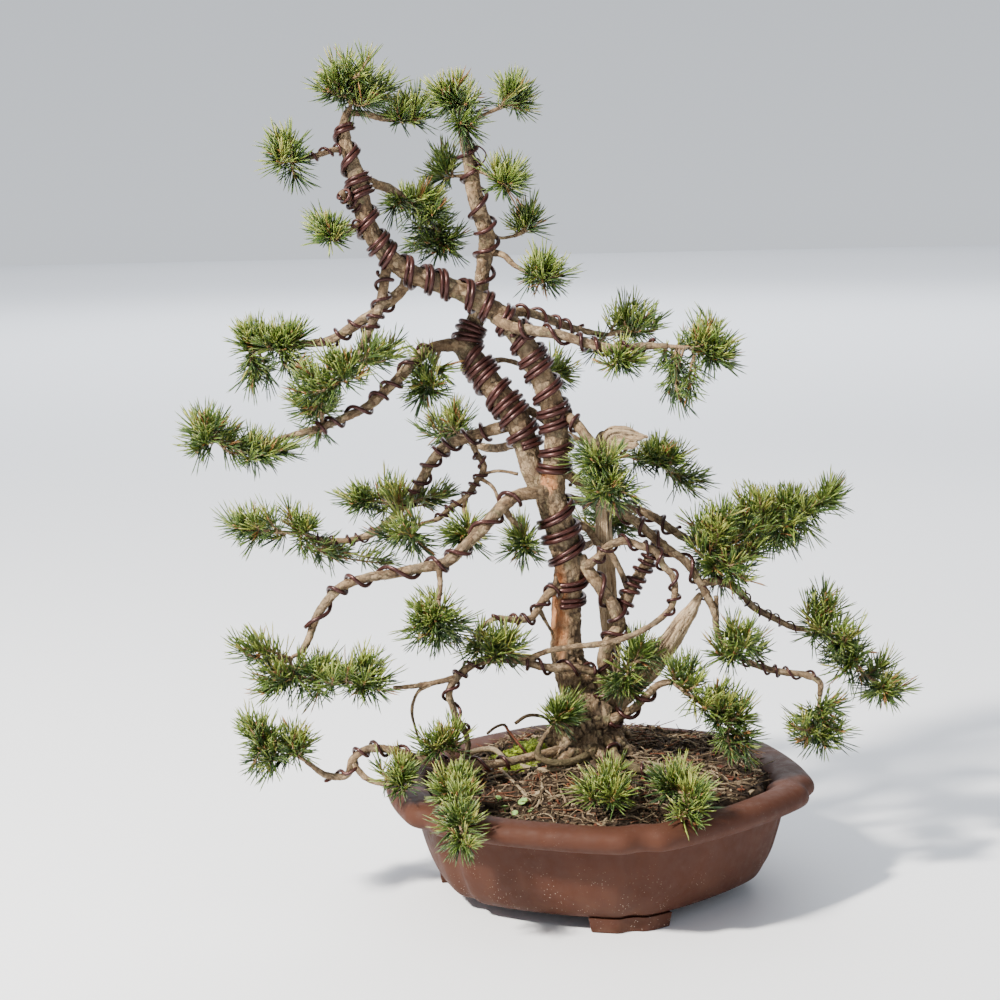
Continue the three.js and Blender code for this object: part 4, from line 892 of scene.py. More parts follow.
def bark_finish():
    """Flaking pine bark, with bleached wood where the note bare says so and orange where warm does."""
    finish = Finish("pine_bark", 0.86, shine=0.15)
    grain = finish.note("grain", "Vector")
    fibre = finish.stretch(grain, 1.6, 1.6, 0.34)
    scaly = finish.stretch(finish.warped(grain, 1.3, 0.8), 1.0, 1.0, 0.6)
    flakes = finish.ramp(
        finish.cells(2.1, scaly, output="Color"),
        (0.22, (0.075, 0.045, 0.026)), (0.42, (0.19, 0.125, 0.07)),
        (0.6, (0.3, 0.2, 0.11)), (0.8, (0.52, 0.38, 0.225)),
    )
    weathered = finish.ramp(
        finish.noise(1.3, 9, grain, 0.68),
        (0.38, (0.045, 0.028, 0.017)), (0.52, (0.2, 0.13, 0.073)), (0.69, (0.5, 0.365, 0.22)),
    )
    plates = finish.blend(0.55, flakes, weathered)
    edge = finish.cells(2.1, scaly, feature="DISTANCE_TO_EDGE")
    patchy = finish.ramp(finish.noise(0.8, 6, grain), (0.4, 0.0), (0.55, 1.0))
    seam = finish.times(finish.ramp(edge, (0.0, 0.9), (0.11, 0.0)), patchy)
    seamed = finish.blend(seam, plates, (0.06, 0.038, 0.026))
    grey = finish.ramp(finish.noise(0.5, 4, grain), (0.45, 0.0), (0.65, 0.4))
    tinged = finish.blend(grey, seamed, (0.17, 0.145, 0.1))
    moss = finish.ramp(finish.noise(0.85, 5, grain), (0.55, 0.0), (0.72, 0.4))
    lichened = finish.blend(moss, tinged, (0.27, 0.275, 0.13))
    rust = finish.ramp(finish.noise(0.9, 6, fibre), (0.38, (0.25, 0.085, 0.03)), (0.66, (0.52, 0.25, 0.115)))
    warm = finish.blend(finish.note("warm"), lichened, rust)
    strands = finish.stretch(grain, 4.2, 4.2, 0.16)
    pale = finish.ramp(
        finish.noise(1.5, 8, strands),
        (0.3, (0.2, 0.12, 0.062)), (0.48, (0.42, 0.3, 0.18)), (0.7, (0.63, 0.5, 0.34)),
    )
    bleached = finish.blend(finish.note("bare"), warm, pale)
    speckle = finish.ramp(finish.noise(9, 6, grain, 0.7), (0.36, 0.55), (0.46, 0.0))
    flecked = finish.blend(speckle, bleached, (0.085, 0.06, 0.045))
    cracked = finish.ramp(finish.note("crack"), (0.15, 0.0), (0.8, 0.92))
    split = finish.blend(cracked, flecked, (0.045, 0.03, 0.022))
    # Painted shade with a wet-soil stain: low wood in the pot is darkened towards greenish brown
    finish.colour(finish.blend(finish.note("damp"), split, (0.05, 0.043, 0.02)))
    finish.bump(finish.ramp(edge, (0.0, 0.0), (0.16, 1.0)), 0.7, 0.55)
    finish.bump(finish.noise(2.6, 9, scaly, 0.7), 1.5, 0.8)
    return finish.bump(finish.noise(2.2, 8, strands), 0.5, 0.5)


def twig_finish():
    finish = Finish("young_shoot_bark", 0.75)
    grain = finish.note("grain", "Vector")
    rings = finish.stretch(grain, 1.0, 1.0, 5.0)
    base = finish.ramp(
        finish.noise(1.6, 6, rings),
        (0.3, (0.075, 0.045, 0.026)), (0.5, (0.2, 0.125, 0.065)), (0.72, (0.36, 0.26, 0.14)),
    )
    finish.colour(base)
    return finish.bump(finish.noise(2.4, 6, rings), 0.6, 0.8)


def wire_finish():
    finish = Finish("brown_training_wire", 0.34, 0.55)
    tarnish = finish.ramp(
        finish.noise(60, 5),
        (0.32, (0.03, 0.009, 0.0075)), (0.55, (0.05, 0.0155, 0.0125)), (0.76, (0.09, 0.031, 0.025)),
    )
    scuffs = finish.ramp(finish.noise(420, 4), (0.62, 0.0), (0.72, 0.35))
    finish.colour(finish.blend(scuffs, tarnish, (0.42, 0.27, 0.24)))
    finish.roughness(finish.ramp(finish.noise(150, 4), (0.3, 0.26), (0.7, 0.46)))
    return finish.bump(finish.noise(700, 3), 0.08, 0.5)


def needle_finish():
    """Needles run by the note tint from a dark blue-green that is painted shade through yellow-green to a
    pale green that is painted sunlight, and on to the brown of dead ones.
    """
    finish = Finish("pine_needles", 0.42)
    # The darkest greens are painted shade and the palest painted sunlight
    green = finish.ramp(
        finish.note("tint"),
        (0.0, (0.028, 0.06, 0.022)), (0.3, (0.062, 0.118, 0.026)), (0.6, (0.16, 0.23, 0.036)),
        (0.86, (0.37, 0.43, 0.09)), (0.93, (0.42, 0.22, 0.07)), (1.0, (0.2, 0.075, 0.025)),
    )
    sheath = finish.ramp(finish.note("height"), (0.04, 0.75), (0.2, 0.0), (0.8, 0.0), (1.0, 0.4))
    tipped = finish.blend(sheath, green, (0.36, 0.3, 0.1))
    mottle = finish.ramp(finish.noise(260, 3), (0.3, 0.72), (0.7, 1.1))
    finish.colour(finish.times(tipped, mottle))
    finish.shader.inputs["Subsurface Weight"].default_value = 0.12
    finish.shader.inputs["Subsurface Radius"].default_value = (0.0008, 0.0012, 0.0003)
    finish.shader.inputs["Subsurface Scale"].default_value = 1.0
    return finish.bump(finish.noise(900, 2), 0.08, 0.4)


def soil_finish():
    finish = Finish("soil_and_litter", 0.93, shine=0.1)
    crumb = finish.cells(210)
    ground = finish.ramp(
        finish.noise(120, 8, rough=0.7),
        (0.3, (0.012, 0.009, 0.007)), (0.48, (0.04, 0.026, 0.017)),
        (0.62, (0.09, 0.059, 0.038)), (0.78, (0.2, 0.14, 0.09)),
    )
    # Painted shade: the gaps between the crumbs are darkened nearly to black
    finish.colour(finish.blend(finish.ramp(crumb, (0.3, 0.0), (0.7, 0.7)), ground, (0.02, 0.014, 0.01)))
    finish.bump(finish.noise(260, 6), 1.6, 0.9)
    return finish.bump(crumb, 1.8, 0.7)


def litter_finish():
    finish = Finish("litter_and_roots", 0.85, shine=0.15)
    base = finish.ramp(
        finish.note("tint"),
        (0.0, (0.022, 0.015, 0.011)), (0.28, (0.055, 0.036, 0.022)), (0.5, (0.125, 0.086, 0.052)),
        (0.75, (0.31, 0.24, 0.15)), (0.9, (0.16, 0.058, 0.03)), (1.0, (0.085, 0.025, 0.016)),
    )
    mottle = finish.ramp(finish.noise(420, 5), (0.3, 0.5), (0.7, 1.15))
    finish.colour(finish.times(base, mottle))
    return finish.bump(finish.noise(520, 5), 0.6, 0.8)


def moss_finish():
    finish = Finish("cushion_moss", 0.85, shine=0.15)
    base = finish.ramp(
        finish.noise(190, 6),
        (0.3, (0.07, 0.1, 0.012)), (0.5, (0.22, 0.3, 0.02)), (0.72, (0.48, 0.56, 0.06)),
    )
    # Painted shade: the low parts of each cushion and the feet of the blades are darkened
    hollows = finish.ramp(finish.note("height"), (0.2, 0.8), (0.9, 0.0))
    finish.colour(finish.blend(hollows, base, (0.06, 0.075, 0.012)))
    return finish.bump(finish.noise(700, 4), 0.8, 0.9)


def leaf_finish():
    finish = Finish("seedling_leaf", 0.5)
    finish.colour(finish.ramp(finish.noise(240, 3), (0.3, (0.13, 0.27, 0.05)), (0.7, (0.27, 0.46, 0.11))))
    return finish.bump(finish.noise(500, 3), 0.2, 0.5)


def screen_finish():
    finish = Finish("drain_screen_plastic", 0.6)
    finish.colour(finish.ramp(finish.noise(90, 4), (0.3, (0.02, 0.035, 0.025)), (0.7, (0.06, 0.085, 0.065))))
    weave = finish.add("ShaderNodeTexWave", wave_type="BANDS", bands_direction="DIAGONAL")
    finish.feed(weave.inputs["Vector"], finish.place)
    finish.feed(weave.inputs["Scale"], 280.0)
    return finish.bump(weave.outputs["Fac"], 0.25, 0.8)


# Bark of the thick limbs: depth of its relief, width of a plate, how much longer it is than wide,
# and how dark its cracks are
BARK = {
    "root_stock": (3.1, 8.5, 1.6, 1),
    "burr": (3.3, 8, 1.5, 1),
    "trunk": (1.3, 7, 1.8, 0.75),
    "left_trunk": (0.8, 6.5, 1.6, 0.6),
    "right_trunk": (0.7, 6.5, 1.6, 0.45),
    "live_vein": (0.6, 7, 2.2, 0.45),
}
BARK_OF_BRANCHES = (0.45, 5, 1.2, 0.62)
SEAM_WIDTH = 0.26
FLAKE_LAYERS = 4
# Bare wood: depth of its ridges, and how bleached it is
RIDGE_DEPTH = {"dead_trunk": 1.9, "peeled_branch": 1.7}
BLEACHED = {"dead_trunk": 0.75, "peeled_branch": 0.95}

# How finely the limbs are measured off and their skin is made, in millimetres
TRUNK_STEP = 3
SHARD_STEP = 2
BRANCH_STEP = 2.0
VOXEL = 1.6
TRUNK_SIDES = 28
BRANCH_SIDES = 16
BRANCH_GIRTH = 0.86
KNOT_SPACING = 14
KNOT_SWELL = 0.14
# Height up to which wood in the pot is darkened towards greenish brown, partly a stain from the wet soil and
# partly painted shade low by the soil, and over how much it fades
DAMP_AND_SHADE_HEIGHT = 168
DAMP_AND_SHADE_FADE = 34


def bark_relief(depth, plate, stretched, darkness, seed):
    """Flaking plates of bark: their height in millimetres, and how deep in a crack each corner is."""

    def relief(grain, radii):
        heights = []
        cracks = []
        for east, north, along in grain:
            spot = Vector((east, north, along / stretched)) * (10 / plate) + Vector((seed, 0, 0))
            spot += noise.noise_vector(spot * 0.8) * 0.55 + noise.noise_vector(spot * 2.6) * 0.25
            near, far = noise.voronoi(spot)[0][:2]
            open_here = min(1, max(0, 0.75 + 1.5 * noise.noise(spot * 0.7)))
            crack = max(0.0, 1 - (far - near) / SEAM_WIDTH) * open_here
            swell = noise.fractal(spot * 0.4, 1.0, 2.0, 3)
            layer = math.floor(FLAKE_LAYERS * noise.fractal(spot * 1.1, 0.8, 2.1, 4))
            flakes = layer / FLAKE_LAYERS
            heights.append(depth * (0.7 * swell + 0.75 * flakes - 1.1 * crack + 0.35))
            cracks.append(darkness * min(1, crack + max(0, -1.1 * flakes - 0.35)))
        limit = np.minimum(1, radii / (4 * depth + 1))
        return np.array(heights) * limit, np.array(cracks)

    return relief


def fibre_relief(depth, seed):
    """Bare wood: long ridges that follow the grain."""

    def relief(grain, radii):
        spots = [Vector((east * 2.6 + seed, north * 2.6, along * 0.13)) for east, north, along in grain]
        ridges = np.array([noise.fractal(spot, 0.8, 2.2, 4) for spot in spots])
        return depth * ridges, np.clip(-2.0 * ridges - 0.3, 0, 1)

    return relief


def limb_relief(name, seed):
    if name in RIDGE_DEPTH:
        return fibre_relief(RIDGE_DEPTH[name], seed)
    return bark_relief(*BARK.get(name, BARK_OF_BRANCHES), seed)


def limb_route(name, step):
    route = follow(LIMBS[name], step)
    return route if name in THICK_LIMBS else route._replace(radii=route.radii * BRANCH_GIRTH)


ROUTES = {name: limb_route(name, TRUNK_STEP) for name in LIMBS}


def wood_finder():
    """Finds the nearest point on any limb's middle line, with the limb's radius there."""
    places = np.vstack([route.places for route in ROUTES.values()])
    radii = np.concatenate([route.radii for route in ROUTES.values()])
    tree = KDTree(len(places))
    for number, place in enumerate(places):
        tree.insert(place, number)
    tree.balance()
    return tree, radii


WOOD_TREE, WOOD_RADII = wood_finder()


def in_wood(place):
    _, number, away = WOOD_TREE.find(place)
    return away < WOOD_RADII[number] * 0.92


def fused(shapes):
    """One closed skin round shapes that cross each other, in millimetres."""
    holder = bpy.data.meshes.new("limbs_to_fuse")
    starts = np.cumsum([0] + [len(shape.points) for shape in shapes])
    faces = np.vstack([shape.faces + start for shape, start in zip(shapes, starts)])
    holder.from_pydata(np.vstack([shape.points for shape in shapes]).tolist(), [], faces.tolist())
    made = bpy.data.objects.new("limbs_to_fuse", holder)
    bpy.context.collection.objects.link(made)
    skin = made.modifiers.new("skin", "REMESH")
    skin.mode = "VOXEL"
    skin.voxel_size = VOXEL
    fair = made.modifiers.new("fair", "SMOOTH")
    fair.iterations = 3
    mesh = bpy.data.meshes.new_from_object(made.evaluated_get(bpy.context.evaluated_depsgraph_get()))
    bpy.data.objects.remove(made)
    bpy.data.meshes.remove(holder)
    bm = bmesh.new()
    bm.from_mesh(mesh)
    bm.normal_update()
    directions = np.array([vert.normal for vert in bm.verts])
    bpy.data.meshes.remove(mesh)
    return (*drawn(bm), directions)


# How far outside a limb its bark may lie, and how many corners are measured at a time
BARK_MARGIN = 12
CORNERS_AT_ONCE = 4000


def nearest_limb(points, limbs):
    """For each point the limb whose bark it lies nearest, and its place along and round that limb."""
    best = np.full(len(points), np.inf)
    grain = np.zeros((len(points), 3))
    radii = np.ones(len(points))
    owner = np.zeros(len(points), int)
    for number, (_, route) in enumerate(limbs):
        margin = route.radii.max() + BARK_MARGIN
        low = route.places.min(axis=0) - margin
        high = route.places.max(axis=0) + margin
        chosen = np.flatnonzero(((points > low) & (points < high)).all(axis=1))
        for part in np.array_split(chosen, max(1, len(chosen) // CORNERS_AT_ONCE)):
            apart = points[part][:, None] - route.places[None]
            ring = np.argmin((apart**2).sum(axis=2), axis=1)
            off = points[part] - route.places[ring]
            gap = np.abs(np.linalg.norm(off, axis=1) - route.radii[ring])
            nearer = gap < best[part]
            kept, ring, off = part[nearer], ring[nearer], off[nearer]
            best[kept] = gap[nearer]
            owner[kept] = number
            radii[kept] = route.radii[ring]
            east = (off * route.normals[ring]).sum(axis=1)
            north = (off * route.binormals[ring]).sum(axis=1)
            ahead = np.cross(route.normals[ring], route.binormals[ring])
            along = route.along[ring] + (off * ahead).sum(axis=1)
            grain[kept] = np.column_stack([east, north, along]) * GRAIN_SCALE
    return owner, grain, radii


def lumpy(route, sides, roughness, seed):
    """A limb whose girth swells and flattens along its way."""

    def relief(grain, radii):
        spots = [Vector((east * 0.5, north * 0.5, along * 0.22 + seed)) for east, north, along in grain]
        swell = np.array([noise.fractal(spot, 1.0, 2.0, 2) for spot in spots])
        return radii * roughness * 1.6 * swell, np.zeros(len(grain))

    return tube(route, sides, relief)


def make_trunks():
    limbs = [(name, ROUTES[name]) for name in THICK_LIMBS]
    limbs += [("root_stock", follow(rows, TRUNK_STEP)) for rows in ROOT_FLARES]
    limbs += [("dead_trunk", follow(rows, SHARD_STEP)) for rows in SHARDS]
    rough = [
        lumpy(route, TRUNK_SIDES, ROUGHNESS[name], seed=number * 7.3)
        for number, (name, route) in enumerate(limbs)
    ]
    points, faces, directions = fused(rough)
    owner, grain, radii = nearest_limb(points, limbs)
    height = np.zeros(len(points))
    crack = np.zeros(len(points))
    for number, (name, _) in enumerate(limbs):
        mine = np.flatnonzero(owner == number)
        relief = limb_relief(name, seed=number * 13.7)
        height[mine], crack[mine] = relief(grain[mine], radii[mine])
    bare = np.array([BLEACHED.get(name, 0.0) for name, _ in limbs])[owner]
    warm = warmth(points, grain)
    points = points + directions * (height * (1 - 0.65 * warm))[:, None]
    notes = {"grain": grain, "crack": crack * (1 - 0.8 * warm), "bare": bare, "warm": warm}
    piece("trunks_and_root_stock", [Shape(points, faces, notes, 0)], "bark", [BARK_FINISH], "wood")


# Where bark has flaked off to orange: the middle on the sheet, and the reach across and up
WARM_PATCHES = [((559, 612, -2), 9, 48), ((549, 480, -6), 8, 13), ((548, 620, 0), 7, 20)]
WARM_DEPTH = 22


def warmth(points, grain):
    """How orange the bark is, from the patches where it has flaked off."""
    warm = np.zeros(len(points))
    for middle, wide, tall in WARM_PATCHES:
        off = points - np.array(on_sheet(*middle))
        reach = (off[:, 0] / wide) ** 2 + (off[:, 2] / tall) ** 2 + (off[:, 1] / WARM_DEPTH) ** 2
        warm = np.maximum(warm, np.clip(1.5 - reach, 0, 1))
    ragged = np.array([noise.fractal(Vector(spot) * 1.3, 1.0, 2.0, 3) for spot in grain])
    return np.clip(warm * (0.9 + 0.9 * ragged), 0, 1)


def branch_shape(route, name, seed):
    knots = np.array([noise.noise(Vector((along / KNOT_SPACING, seed, 0))) for along in route.along])
    route = route._replace(radii=route.radii * (1 + KNOT_SWELL * knots))
    shape = tube(route, BRANCH_SIDES, limb_relief(name, seed), bare=0, warm=0)
    # Low wood in the pot gets painted shade, with a stain from the wet soil, fading out upwards
    if inside_pot((route.places[-1][0], route.places[-1][1], 0)):
        low = (DAMP_AND_SHADE_HEIGHT - shape.points[:, 2]) / DAMP_AND_SHADE_FADE
        shape.notes["damp"] = 0.75 * np.clip(low, 0, 1)
    return shape


def make_branches():
    thin = [name for name in LIMBS if name not in THICK_LIMBS]
    shapes = [
        branch_shape(limb_route(name, BRANCH_STEP), name, seed=number * 3.1)
        for number, name in enumerate(thin)
    ]
    shapes += [
        branch_shape(follow(rows, BRANCH_STEP), "twig", seed=200 + number)
        for number, rows in enumerate(TWIGS)
    ]
    piece("branches", shapes, "bark", [BARK_FINISH])


# Wires: places to a turn, how thick they are made against the table, and their distance from the bark
STEPS_TO_A_TURN = 22
WIRE_THICKNESS = 1.1
WIRE_SLACK = 0.7
BUNCHING = 0.5
BUNCH_RATE = 2.1
# Length of a wire's facets against its radius, and the radius from which it has more sides
WIRE_STEP = 1.35
THICK_WIRE = 1.7


def winding(limb, start, stop, turns, radius):
    """The route of a wire wound round a limb, its turns bunched here and there."""
    route = limb_route(limb, 1.5)
    turn = np.linspace(0, turns, round(turns * STEPS_TO_A_TURN) + 1)
    bunched = turn - BUNCHING * np.sin(turn * BUNCH_RATE) / BUNCH_RATE
    spot = (start + (stop - start) * bunched / turns) * (len(route.places) - 1)
    whole = np.clip(spot.astype(int), 0, len(route.places) - 2)
    part = (spot - whole)[:, None]
    middle = route.places[whole] * (1 - part) + route.places[whole + 1] * part
    angle = turn * 2 * math.pi + 0.35 * np.sin(turn * 1.7 + len(limb))
    out = route.normals[whole] * np.cos(angle)[:, None] + route.binormals[whole] * np.sin(angle)[:, None]
    away = route.radii[whole] * (1 + ROUGHNESS.get(limb, 0.02)) + WIRE_SLACK + radius
    return middle + out * away[:, None]


# Loose bits of wire: points on the sheet, and the wire's radius
LOOSE_WIRES = {
    "tip_loop": ([(470, 150, 18), (478, 146, 10), (486, 154, 8), (482, 163, 10), (473, 160, 14)], 0.8),
    "branch_tie": (
        [(696, 590, -14), (703, 586, -24), (710, 594, -18), (704, 600, -10), (698, 594, -8)], 0.9,
    ),
}


def make_wires():
    for name, limb, start, stop, turns, gauge in WIRES:
        radius = gauge * WIRE_THICKNESS
        places = winding(limb, start, stop, turns, radius)
        route = even_route(places, np.full(len(places), radius), WIRE_STEP * radius)
        sides = 10 if radius > THICK_WIRE else 8
        nodes = [name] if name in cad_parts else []
        piece(f"wound_{name}", [tube(route, sides)], "wire", [WIRE_FINISH], *nodes)
    for name, (points, radius) in LOOSE_WIRES.items():
        route = thread([on_sheet(*point) for point in points], [radius, radius], 1.2)
        piece(name, [tube(route, 8)], "wire", [WIRE_FINISH])


def cone(sides, foot, tip):
    """A cone of unit length that stands along Z on the origin."""
    bm = bmesh.new()
    bmesh.ops.create_cone(bm, cap_ends=True, segments=sides, radius1=foot, radius2=tip, depth=1)
    bmesh.ops.translate(bm, verts=bm.verts, vec=(0, 0, 0.5))
    return bm


def swollen(bm, swell, height):
    """Cuts a cone once across its middle, and sets the cut's girth and height."""
    bmesh.ops.subdivide_edges(bm, edges=upright_edges(bm), cuts=1)
    for vert in bm.verts:
        if 0.3 < vert.co.z < 0.7:
            vert.co = Vector((vert.co.x * swell, vert.co.y * swell, height))
    return bm


def needle_template():
    """A three-sided needle of unit length and radius, curved a little and drawn to a tip."""
    bm = swollen(cone(3, 1, 0), 1.9, 0.8)
    for vert in bm.verts:
        vert.co.x += 2.2 * vert.co.z**2 - 1.2 * vert.co.z
    return drawn(bm)


def ball(subdivisions):
    bm = bmesh.new()
    bmesh.ops.create_icosphere(bm, subdivisions=subdivisions, radius=1)
    return bm


NEEDLE = needle_template()
BUD = drawn(swollen(cone(6, 0.7, 0.12), 2.1, 0.4))
PAPERY_SCALE = drawn(cone(3, 1, 0))

# Sprays: the first one's seed, and the shoots in a bush for each degree of its fullness
SPRAY_SEED = 5000
SHOOTS_PER_FULLNESS = 1.9
STEM_RADIUS = 2.0
SHOOT_STEP = 4
SHOOT_BEND = 0.14
SHORTEST_SHOOT = 9
SIDE_SHOOT_SPACING = 8
SCALES_TO_A_SHOOT = 9
# Needles: how far they reach past a shoot, the pairs on one and how much of it they clothe
NEEDLE_RADIUS = 0.68
NEEDLE_LENGTHS = (18, 32)
NEEDLE_REACH = 16
PAIRS = 18
CLAD_LENGTH = 30
UPWARD_PULL = 0.35
# The share of needles that are dead, and the tint of dead needles and of buds
DEAD_SHARE = 0.025
BROWN = 0.97


def any_angle(rng):
    return rng.uniform(0, FULL_TURN)


def aimed(place, direction, roll, radius, length):
    """Turns a shape that stands along Z to point a given way."""
    turn = direction.to_track_quat("Z", "Y") @ Quaternion((0, 0, 1), roll)
    return Matrix.LocRotScale(place, turn, Vector((radius, radius, length)))


def leaning(direction, spread, roll):
    """The direction tipped away from itself by an angle, on the side that roll gives."""
    side = direction.orthogonal().normalized()
    side.rotate(Quaternion(direction, roll))
    return direction * math.cos(spread) + side * math.sin(spread)


def needle_pairs(route, heading, rng, vigour):
    """Needles in pairs round the outer part of a shoot, with a few that have browned."""
    places = []
    tints = []
    length = route.along[-1]
    clad = min(CLAD_LENGTH, length * 0.9)
    shade = rng.gauss(0.0, 0.07)
    for pair in range(PAIRS):
        share = (pair + 0.5) / PAIRS
        spot = (length - clad + clad * share) / length * (len(route.places) - 1)
        low = min(int(spot), len(route.places) - 2)
        base = Vector(route.places[low]).lerp(Vector(route.places[low + 1]), spot - low)
        ahead = (Vector(route.places[low + 1]) - Vector(route.places[low])).normalized()
        ahead = ahead.lerp(heading, share).normalized()
        spread = math.radians(lerp(66, 16, share**1.6) + rng.gauss(0, 11))
        roll = pair * GOLDEN_ANGLE + rng.uniform(-0.5, 0.5)
        middle = (leaning(ahead, spread, roll) + UP * 0.12).normalized()
        full = rng.uniform(*NEEDLE_LENGTHS) * vigour * (0.82 if share < 0.2 else 1)
        if rng.random() < DEAD_SHARE:
            tint = BROWN
        else:
            # Painted light: needles that point up get a paler, sunlit tint and those that point down a
            # darker, shaded one; the random part is the needles' own tone
            tint = min(0.88, max(0.02, 0.38 + shade + 0.26 * middle.z + rng.gauss(0, 0.2)))
        splay = rng.uniform(0.07, 0.16)
        side = rng.uniform(0, math.pi)
        for way in (-1, 1):
            direction = leaning(middle, splay * way, side)
            tip = base + direction * full
            if in_wood(tip) or in_wood(base + direction * full * 0.6) or inside_pot(tip):
                continue
            places.append(aimed(base, direction, any_angle(rng), NEEDLE_RADIUS, full))
            tints.append(tint)
    return places, tints


def shoot_routes(stem, bushes, order, rng):
    """The twigs of a spray: each runs from the stem to a place in one of its bushes."""
    for bush, (across, down, half_width, half_height, behind, fullness) in enumerate(bushes):
        count = max(2, round(fullness * SHOOTS_PER_FULLNESS))
        wide = max(half_width - NEEDLE_REACH, 4)
        tall = max(half_height - NEEDLE_REACH, 4)
        for number in range(count):
            out = math.sqrt((number + 0.6) / count)
            turn = number * GOLDEN_ANGLE + rng.random() * 0.6 + order + bush
            deep = max(wide, tall) * rng.uniform(-1.1, 1.1)
            right, below = wide * out * math.cos(turn), tall * out * math.sin(turn)
            tip = on_sheet(across + right, down + below, behind + deep)
            reach = np.linalg.norm(stem.places - np.array(tip), axis=1)
            root = Vector(stem.places[np.argmin(reach)])
            if (tip - root).length < SHORTEST_SHOOT:
                tip += UP * SHORTEST_SHOOT
            bend = Vector((rng.uniform(-1, 1), rng.uniform(-1, 1), rng.uniform(-1.2, 0.2)))
            bend = bend * (tip - root).length * SHOOT_BEND
            yield thread([root, root.lerp(tip, 0.5) + bend, tip], [1.5, 1.15, 0.8], SHOOT_STEP)
    for reach in np.arange(0.25, 1, SIDE_SHOOT_SPACING / max(stem.along[-1], 20)):
        number = min(int(reach * len(stem.places)), len(stem.places) - 2)
        root = Vector(stem.places[number])
        near = any(
            (root - on_sheet(across, down, behind)).length < 1.3 * max(half_width, half_height)
            for across, down, half_width, half_height, behind, _ in bushes
        )
        if near:
            ahead = Vector(stem.places[number + 1] - stem.places[number]).normalized()
            out = leaning(ahead, rng.uniform(0.5, 1.2), any_angle(rng)) + UP * 0.2
            full = rng.uniform(11, 21)
            tip = root + out * full + UP * 2
            yield thread([root, root + out * full * 0.5, tip], [1.4, 1.1, 0.8], SHOOT_STEP)


def make_spray(name, stem_rows, bushes, order):
    rng = random.Random(SPRAY_SEED + order)
    stem = follow([(*row, STEM_RADIUS) for row in stem_rows], SHOOT_STEP)
    shapes = [tube(stem, 8)]
    needles = []
    tints = []
    buds = []
    scales = []
    scale_tints = []
    for route in shoot_routes(stem, bushes, order, rng):
        shapes.append(tube(route, 6))
        heading = Vector(route.places[-1] - route.places[-2]).normalized()
        heading = (heading + UP * UPWARD_PULL).normalized()
        tip = Vector(route.places[-1])
        more, more_tints = needle_pairs(route, heading, rng, rng.uniform(0.78, 1.12))
        needles += more
        tints += more_tints
        buds.append(aimed(tip, heading, 0, rng.uniform(1.1, 1.6), rng.uniform(4.5, 7)))
        for _ in range(SCALES_TO_A_SHOOT):
            spot = Vector(route.places[rng.randrange(len(route.places))])
            direction = leaning(heading, rng.uniform(0.3, 0.9), any_angle(rng))
            scales.append(aimed(spot, direction, any_angle(rng), 1.1, rng.uniform(3, 5)))
            scale_tints.append(rng.uniform(0.9, 1.0))
    shapes.append(copies(NEEDLE, needles, 1, tint=tints))
    shapes.append(copies(PAPERY_SCALE, scales, 1, tint=scale_tints))
    shapes.append(copies(BUD, buds, 1, tint=[BROWN] * len(buds)))
    piece(f"needles_{name}", shapes, "needles", [TWIG_FINISH, NEEDLE_FINISH], f"spray_{name}")


def spun(section, closed):
    """A section of corner radii and heights spun round the pot's axis and pressed to its outline."""
    bm = bmesh.new()
    verts = [bm.verts.new((radius, 0, height)) for radius, height in section]
    pairs = list(zip(verts, verts[1:])) + ([(verts[-1], verts[0])] if closed else [])
    edges = [bm.edges.new(pair) for pair in pairs]
    bmesh.ops.spin(
        bm, geom=verts + edges, axis=(0, 0, 1), cent=(0, 0, 0), steps=POT_STEPS,
        angle=2 * math.pi, use_merge=True,
    )
    bmesh.ops.remove_doubles(bm, verts=bm.verts, dist=0.01)
    for vert in bm.verts:
        radius = math.hypot(vert.co.x, vert.co.y)
        angle = math.degrees(math.atan2(vert.co.y, vert.co.x))
        place = on_pot(radius, angle, NOTCH_DEPTH * radius / RIM_RADIUS) if radius > 1 else POT_MIDDLE
        vert.co = Vector((place.x, place.y, vert.co.z))
    bmesh.ops.recalc_face_normals(bm, faces=bm.faces)
    return bm


def smoothed(section, per_span):
    flat = np.array([(radius, 0, height) for radius, height in section], float)
    return [(radius, height) for radius, _, height in spline(flat, per_span)]


def foot_block(corner):
    """A low foot under a corner, with sloping ends, sunk a little into the underside."""
    bm = bmesh.new()
    bend = [step / 8 for step in range(-8, 9)]
    outer = [on_pot(FOOT_OUTER_RADIUS, corner + step * FOOT_HALF_ANGLE, NOTCH_DEPTH * 0.75) for step in bend]
    inner = [on_pot(FOOT_INNER_RADIUS, corner - step * FOOT_HALF_ANGLE * 0.85, 0) for step in bend]
    outline = bm.faces.new([bm.verts.new(place) for place in outer + inner])
    raised = bmesh.ops.extrude_face_region(bm, geom=[outline])
    top = [item for item in raised["geom"] if isinstance(item, bmesh.types.BMVert)]
    bmesh.ops.translate(bm, verts=top, vec=(0, 0, FOOT_HEIGHT + 2))
    middle = on_pot((FOOT_OUTER_RADIUS + FOOT_INNER_RADIUS) / 2, corner, 0)
    for vert in bm.verts:
        if vert not in top:
            vert.co = middle + (vert.co - middle) * FOOT_TAPER
    bmesh.ops.recalc_face_normals(bm, faces=bm.faces)
    rims = [edge for edge in bm.edges if all(vert.co.z < 1 for vert in edge.verts)]
    bmesh.ops.bevel(
        bm, geom=rims, offset=FOOT_ROUNDING, segments=3, profile=0.5, affect="EDGES", material=-1
    )
    return bm


